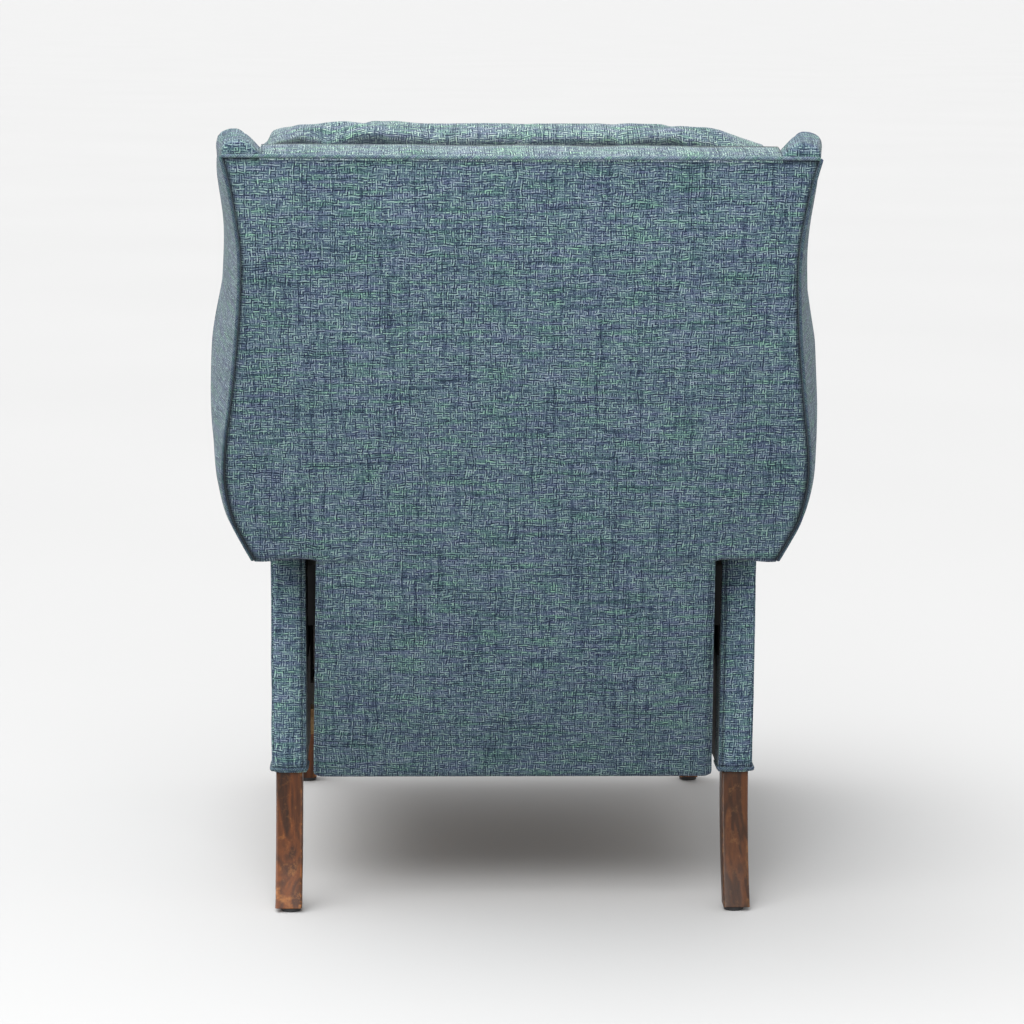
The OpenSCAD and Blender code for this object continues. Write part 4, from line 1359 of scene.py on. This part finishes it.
def rear_post(sgn, tag, side):
    """Rear post of the arm, wrapped in cloth, with piping round its foot."""
    sect = resample(round_loop(POST, [0.002, 0.002, 0.016, 0.004], 7), 96)
    loops = []
    for z in np.r_[0.1905, 0.192, 0.196, np.linspace(0.204, 0.525, 40), 0.532, 0.535]:
        s = sect.copy()
        rear = smoothstep(0.2675, 0.2693, s[:, 1])
        groove = np.exp(-((s[:, 0] - FOLD_X) / 0.0016) ** 2)
        puff = 0.0016 * np.exp(-((s[:, 0] - 0.318) / 0.014) ** 2)
        wob = 0.0008 * value_noise(level(s, z), 0.05, 161 + sgn)
        s[:, 1] += rear * (puff - 0.0014 * groove + wob)
        s[:, 0] += smoothstep(0.341, 0.3424, s[:, 0]) * wob
        loops.append(level(s * (sgn, 1), z))
    post = lofted(f"rear_post_{tag}", loops, FABRIC_POST_LIT, "base")
    q = coords(post)
    x, y, z = np.abs(q[:, 0]), q[:, 1], q[:, 2]
    # painted shade along the fold, on the front face, at the foot and towards the top under the arm
    # end; everything but the outer rear corner is darkened a little, so that corner reads as
    # painted light
    painted_shade_attr(post, 0.6 * np.exp(-((x - FOLD_X) / 0.0018) ** 2) * (y > 0.262)
              + 0.8 * (y < 0.2225) + 0.7 * np.exp(-((z - 0.1975) / 0.003) ** 2)
              + 0.55 * smoothstep(0.485, 0.515, z) + 0.24 * smoothstep(0.3385, 0.3345, x))
    weave_uv(post, seed=170 + sgn)
    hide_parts(f"{side}_rear_post_cover")
    tube(f"post_welt_{tag}", level(round_loop(POST, 0.004, 4) * (sgn, 1), 0.1945), 0.0026, WELT_SHADED,
         "base", closed=True, wobble=0.05, seed=180 + sgn)


def arm_end(sgn, tag):
    """Patch that closes the rear end of the arm above its post."""
    edge = round_loop(rect(0.2905, 0.3290, 0.533, 0.579), 0.004, 4)
    mid = edge.mean(0)
    loops = [upright((mid + (edge - mid) * k) * (sgn, 1), y)
             for k, y in ((1.0, 0.2650), (1.0, 0.2662), (0.97, 0.2668), (0.85, 0.2672),
                          (0.6, 0.2674), (0.3, 0.2675))]
    weave_uv(lofted(f"arm_end_{tag}", loops, FABRIC, "base"), seed=185 + sgn)


def arm_lining(sgn, tag):
    """Black cloth closing the hollow inside the arm, low along the seat, high behind it; its black
    also stands in as painted shade for the dark gap between arm and back.
    """
    low, high, top = 0.192, 0.4075, 0.5305
    ya, yb, yc = -0.4285, 0.1385, 0.2208
    ys = np.r_[np.linspace(ya, yb - 0.002, 50), np.linspace(yb + 0.002, yc, 9)]
    ts = np.linspace(0, 1, 15)
    verts = [(sgn * x, y, low + ((high if y < yb else top) - low) * t)
             for x in (0.2932, 0.2938) for y in ys for t in ts]
    lining = piece(f"arm_lining_{tag}", verts, slab_faces(len(ys), len(ts)), CAMBRIC, "base",
                   "lining")


def post_stitches(sgn, tag):
    """Short stitches along the post's fold, each a thin lozenge tapered at both ends."""
    verts, faces = [], []
    for z in np.arange(0.204, 0.500, 0.0062):
        base = len(verts)
        for rise, k in ((0, 0.3), (0.0008, 1), (0.0030, 1), (0.0038, 0.3)):
            for dx, dy in ((-0.00045, 0), (0, 0.00055), (0.00045, 0), (0, -0.0004)):
                verts.append((sgn * (0.2958 + dx * k), 0.27005 + dy * k, z + rise))
        for k in range(3):
            for j in range(4):
                a, b = base + k * 4 + j, base + k * 4 + (j + 1) % 4
                faces.append((a, b, b + 4, a + 4))
        faces += [tuple(range(base, base + 4)), tuple(range(base + 12, base + 16))]
    weave_uv(piece(f"post_stitches_{tag}", verts, faces, WELT_SHADED, "base", UPH), seed=190 + sgn)


for sgn, tag, side in SIDES:
    arm_cover(sgn, tag, side)
    arm_front(sgn, tag, side)
    rear_post(sgn, tag, side)
    arm_end(sgn, tag)
    arm_lining(sgn, tag)
    post_stitches(sgn, tag)

# -------- legs
LEG_LEVELS = np.r_[0.006, 0.0068, 0.010, np.linspace(0.018, 0.182, 26), 0.188, 0.190]


def leg_mesh(name, section, node, seed, foot_wear_and_light, mat=LEG):
    """A leg lofted through sections, edges eased, with a value on each vertex for pale edge wear
    and painted edge highlight.
    """
    e = 0.0035
    loops, wear_and_highlight = [], []
    for z in LEG_LEVELS:
        ring = []
        corners = np.array(rect(*section(z)))
        for i in range(4):
            a, b = corners[i], corners[(i + 1) % 4]
            ln = np.linalg.norm(b - a)
            d = (b - a) / ln
            stops = [e * 0.25, e, ln * 0.3, ln * 0.5, ln * 0.7, ln - e, ln - e * 0.25]
            for k, t in enumerate(stops):
                p = a + d * t
                if k in (0, 6):
                    p = p + np.array([-d[1], d[0]]) * (e * 0.25)
                ring.append((*p, z))
                wear_and_highlight.append(1.0 if k in (0, 6) else (0.55 if k in (1, 5) else 0.12))
        loops.append(np.array(ring))
    L = np.array(loops)
    flat = L.reshape(-1, 3)
    wear_and_highlight = np.array(wear_and_highlight)
    z = flat[:, 2]
    wear_and_highlight = wear_and_highlight * (0.65 + 0.35 * smoothstep(0.12, 0.0, z)) + foot_wear_and_light * smoothstep(0.05, 0.008, z)
    wear_and_highlight = np.clip(wear_and_highlight + 0.25 * value_noise(flat, 0.02, seed), 0, 1)
    nick = 0.0004 * value_noise(flat, 0.012, seed + 1) * (wear_and_highlight > 0.6)
    c = np.repeat(L.mean(axis=1), L.shape[1], axis=0)
    d = flat - c
    d /= np.linalg.norm(d, axis=1)[:, None]
    flat = flat + d * nick[:, None]
    ob = lofted(name, list(flat.reshape(L.shape)), mat, "base", "leg_wood")
    att = ob.data.attributes.new("wear_and_highlight", "FLOAT", "POINT")
    # the two last values are the middles of the end caps
    att.data.foreach_set("value", np.r_[wear_and_highlight, foot_wear_and_light, 0.1].astype(np.float32))
    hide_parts(node)


# a rear leg's front and rear faces: height, y
front_y = catmull([(0.006, 0.290), (0.066, 0.257), (0.132, 0.235), (0.190, 0.226)])
rear_y = catmull([(0.006, 0.322), (0.066, 0.292), (0.132, 0.273), (0.190, 0.266)])
for sgn, tag, side in SIDES:
    leg_lo, leg_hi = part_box(f"rear_{side}_leg")

    def rear_section(z):
        return leg_lo.x, leg_hi.x, np.interp(z, *front_y.T), np.interp(z, *rear_y.T)

    def front_section(z):
        hw = 0.015 + (0.022 - 0.015) * (z - 0.006) / 0.184
        return sgn * 0.314 - hw, sgn * 0.314 + hw, -0.418 - hw, -0.418 + hw

    # painted shade: the leg on the side away from the key light gets the darker copy of the wood
    # and little pale wear at its foot; the other leg's paler foot is partly painted light
    foot_wear_and_light, mat = (0.6, LEG) if sgn > 0 else (0.12, LEG_SHADED)
    leg_mesh(f"rear_leg_{tag}", rear_section, f"rear_{side}_leg", 200 + sgn, foot_wear_and_light, mat)
    leg_mesh(f"front_leg_{tag}", front_section, f"front_{side}_leg", 210 + sgn, 0.3)

# -------- stage, light, camera
FLOOR_R, FLOOR_N = 400.0, 96
paper = Nodes("studio_floor")
paper.put("Base Color", paper.ramp(paper.noise(paper.coords(), 0.6, 2, 0.5),
                                   [(0.3, (0.468, 0.468, 0.468, 1)),
                                    (0.7, (0.478, 0.478, 0.478, 1))]))
paper.put("Roughness", 0.85)
paper.put("Specular IOR Level", 0.1)
ang = np.linspace(0, 2 * math.pi, FLOOR_N, endpoint=False)
me = new_mesh("floor", [(FLOOR_R * math.cos(a), FLOOR_R * math.sin(a), 0.0) for a in ang],
              [tuple(range(FLOOR_N))])
me.materials.append(paper.mat)
add_object("floor", me)

world = bpy.data.worlds.new("studio")
world.use_nodes = True
bg = world.node_tree.nodes["Background"]
bg.inputs["Color"].default_value = (1.0, 1.0, 1.0, 1)
bg.inputs["Strength"].default_value = 0.88
scene.world = world


def point_at(ob, direction):
    ob.rotation_euler = Vector(direction).to_track_quat("-Z", "Y").to_euler()


def soft_sun(name, towards, strength, spread):
    ld = bpy.data.lights.new(name, "SUN")
    ld.energy, ld.angle = strength, math.radians(spread)
    lo = add_object(name, ld)
    point_at(lo, -Vector(towards))
    lo.location = Vector(towards).normalized() * 5


soft_sun("key", (1.3, 1.0, 2.2), 0.55, 70)
soft_sun("front", (0.7, -1.6, 1.9), 0.75, 80)
soft_sun("top", (0.4, 0.1, 1.0), 2.25, 60)

# a broad panel above and behind lifts the upper half of the back
panel_light = bpy.data.lights.new("high_panel", "AREA")
panel_light.shape, panel_light.size, panel_light.energy = "DISK", 1.1, 24
lamp = add_object("high_panel", panel_light)
lamp.location = (0.15, 1.95, 2.05)
point_at(lamp, Vector((0.0, 0.42, 0.95)) - lamp.location)

CAM_DOWN = 9.746    # degrees below level
CAM_ROLL = 0.4      # degrees, anticlockwise seen from behind the camera
cam_data = bpy.data.cameras.new("camera")
cam_data.lens, cam_data.sensor_width = 107.86, 36
cam = add_object("camera", cam_data)
cam.location = (0.15, 4.5, 1.2922)
look = Vector((0.004, FOOT[0], 0.0)) - cam.location
look.z = -look.xy.length * math.tan(math.radians(CAM_DOWN))
roll = Quaternion((0, 0, 1), math.radians(CAM_ROLL))
cam.rotation_euler = (look.to_track_quat("-Z", "Y") @ roll).to_euler()
scene.camera = cam
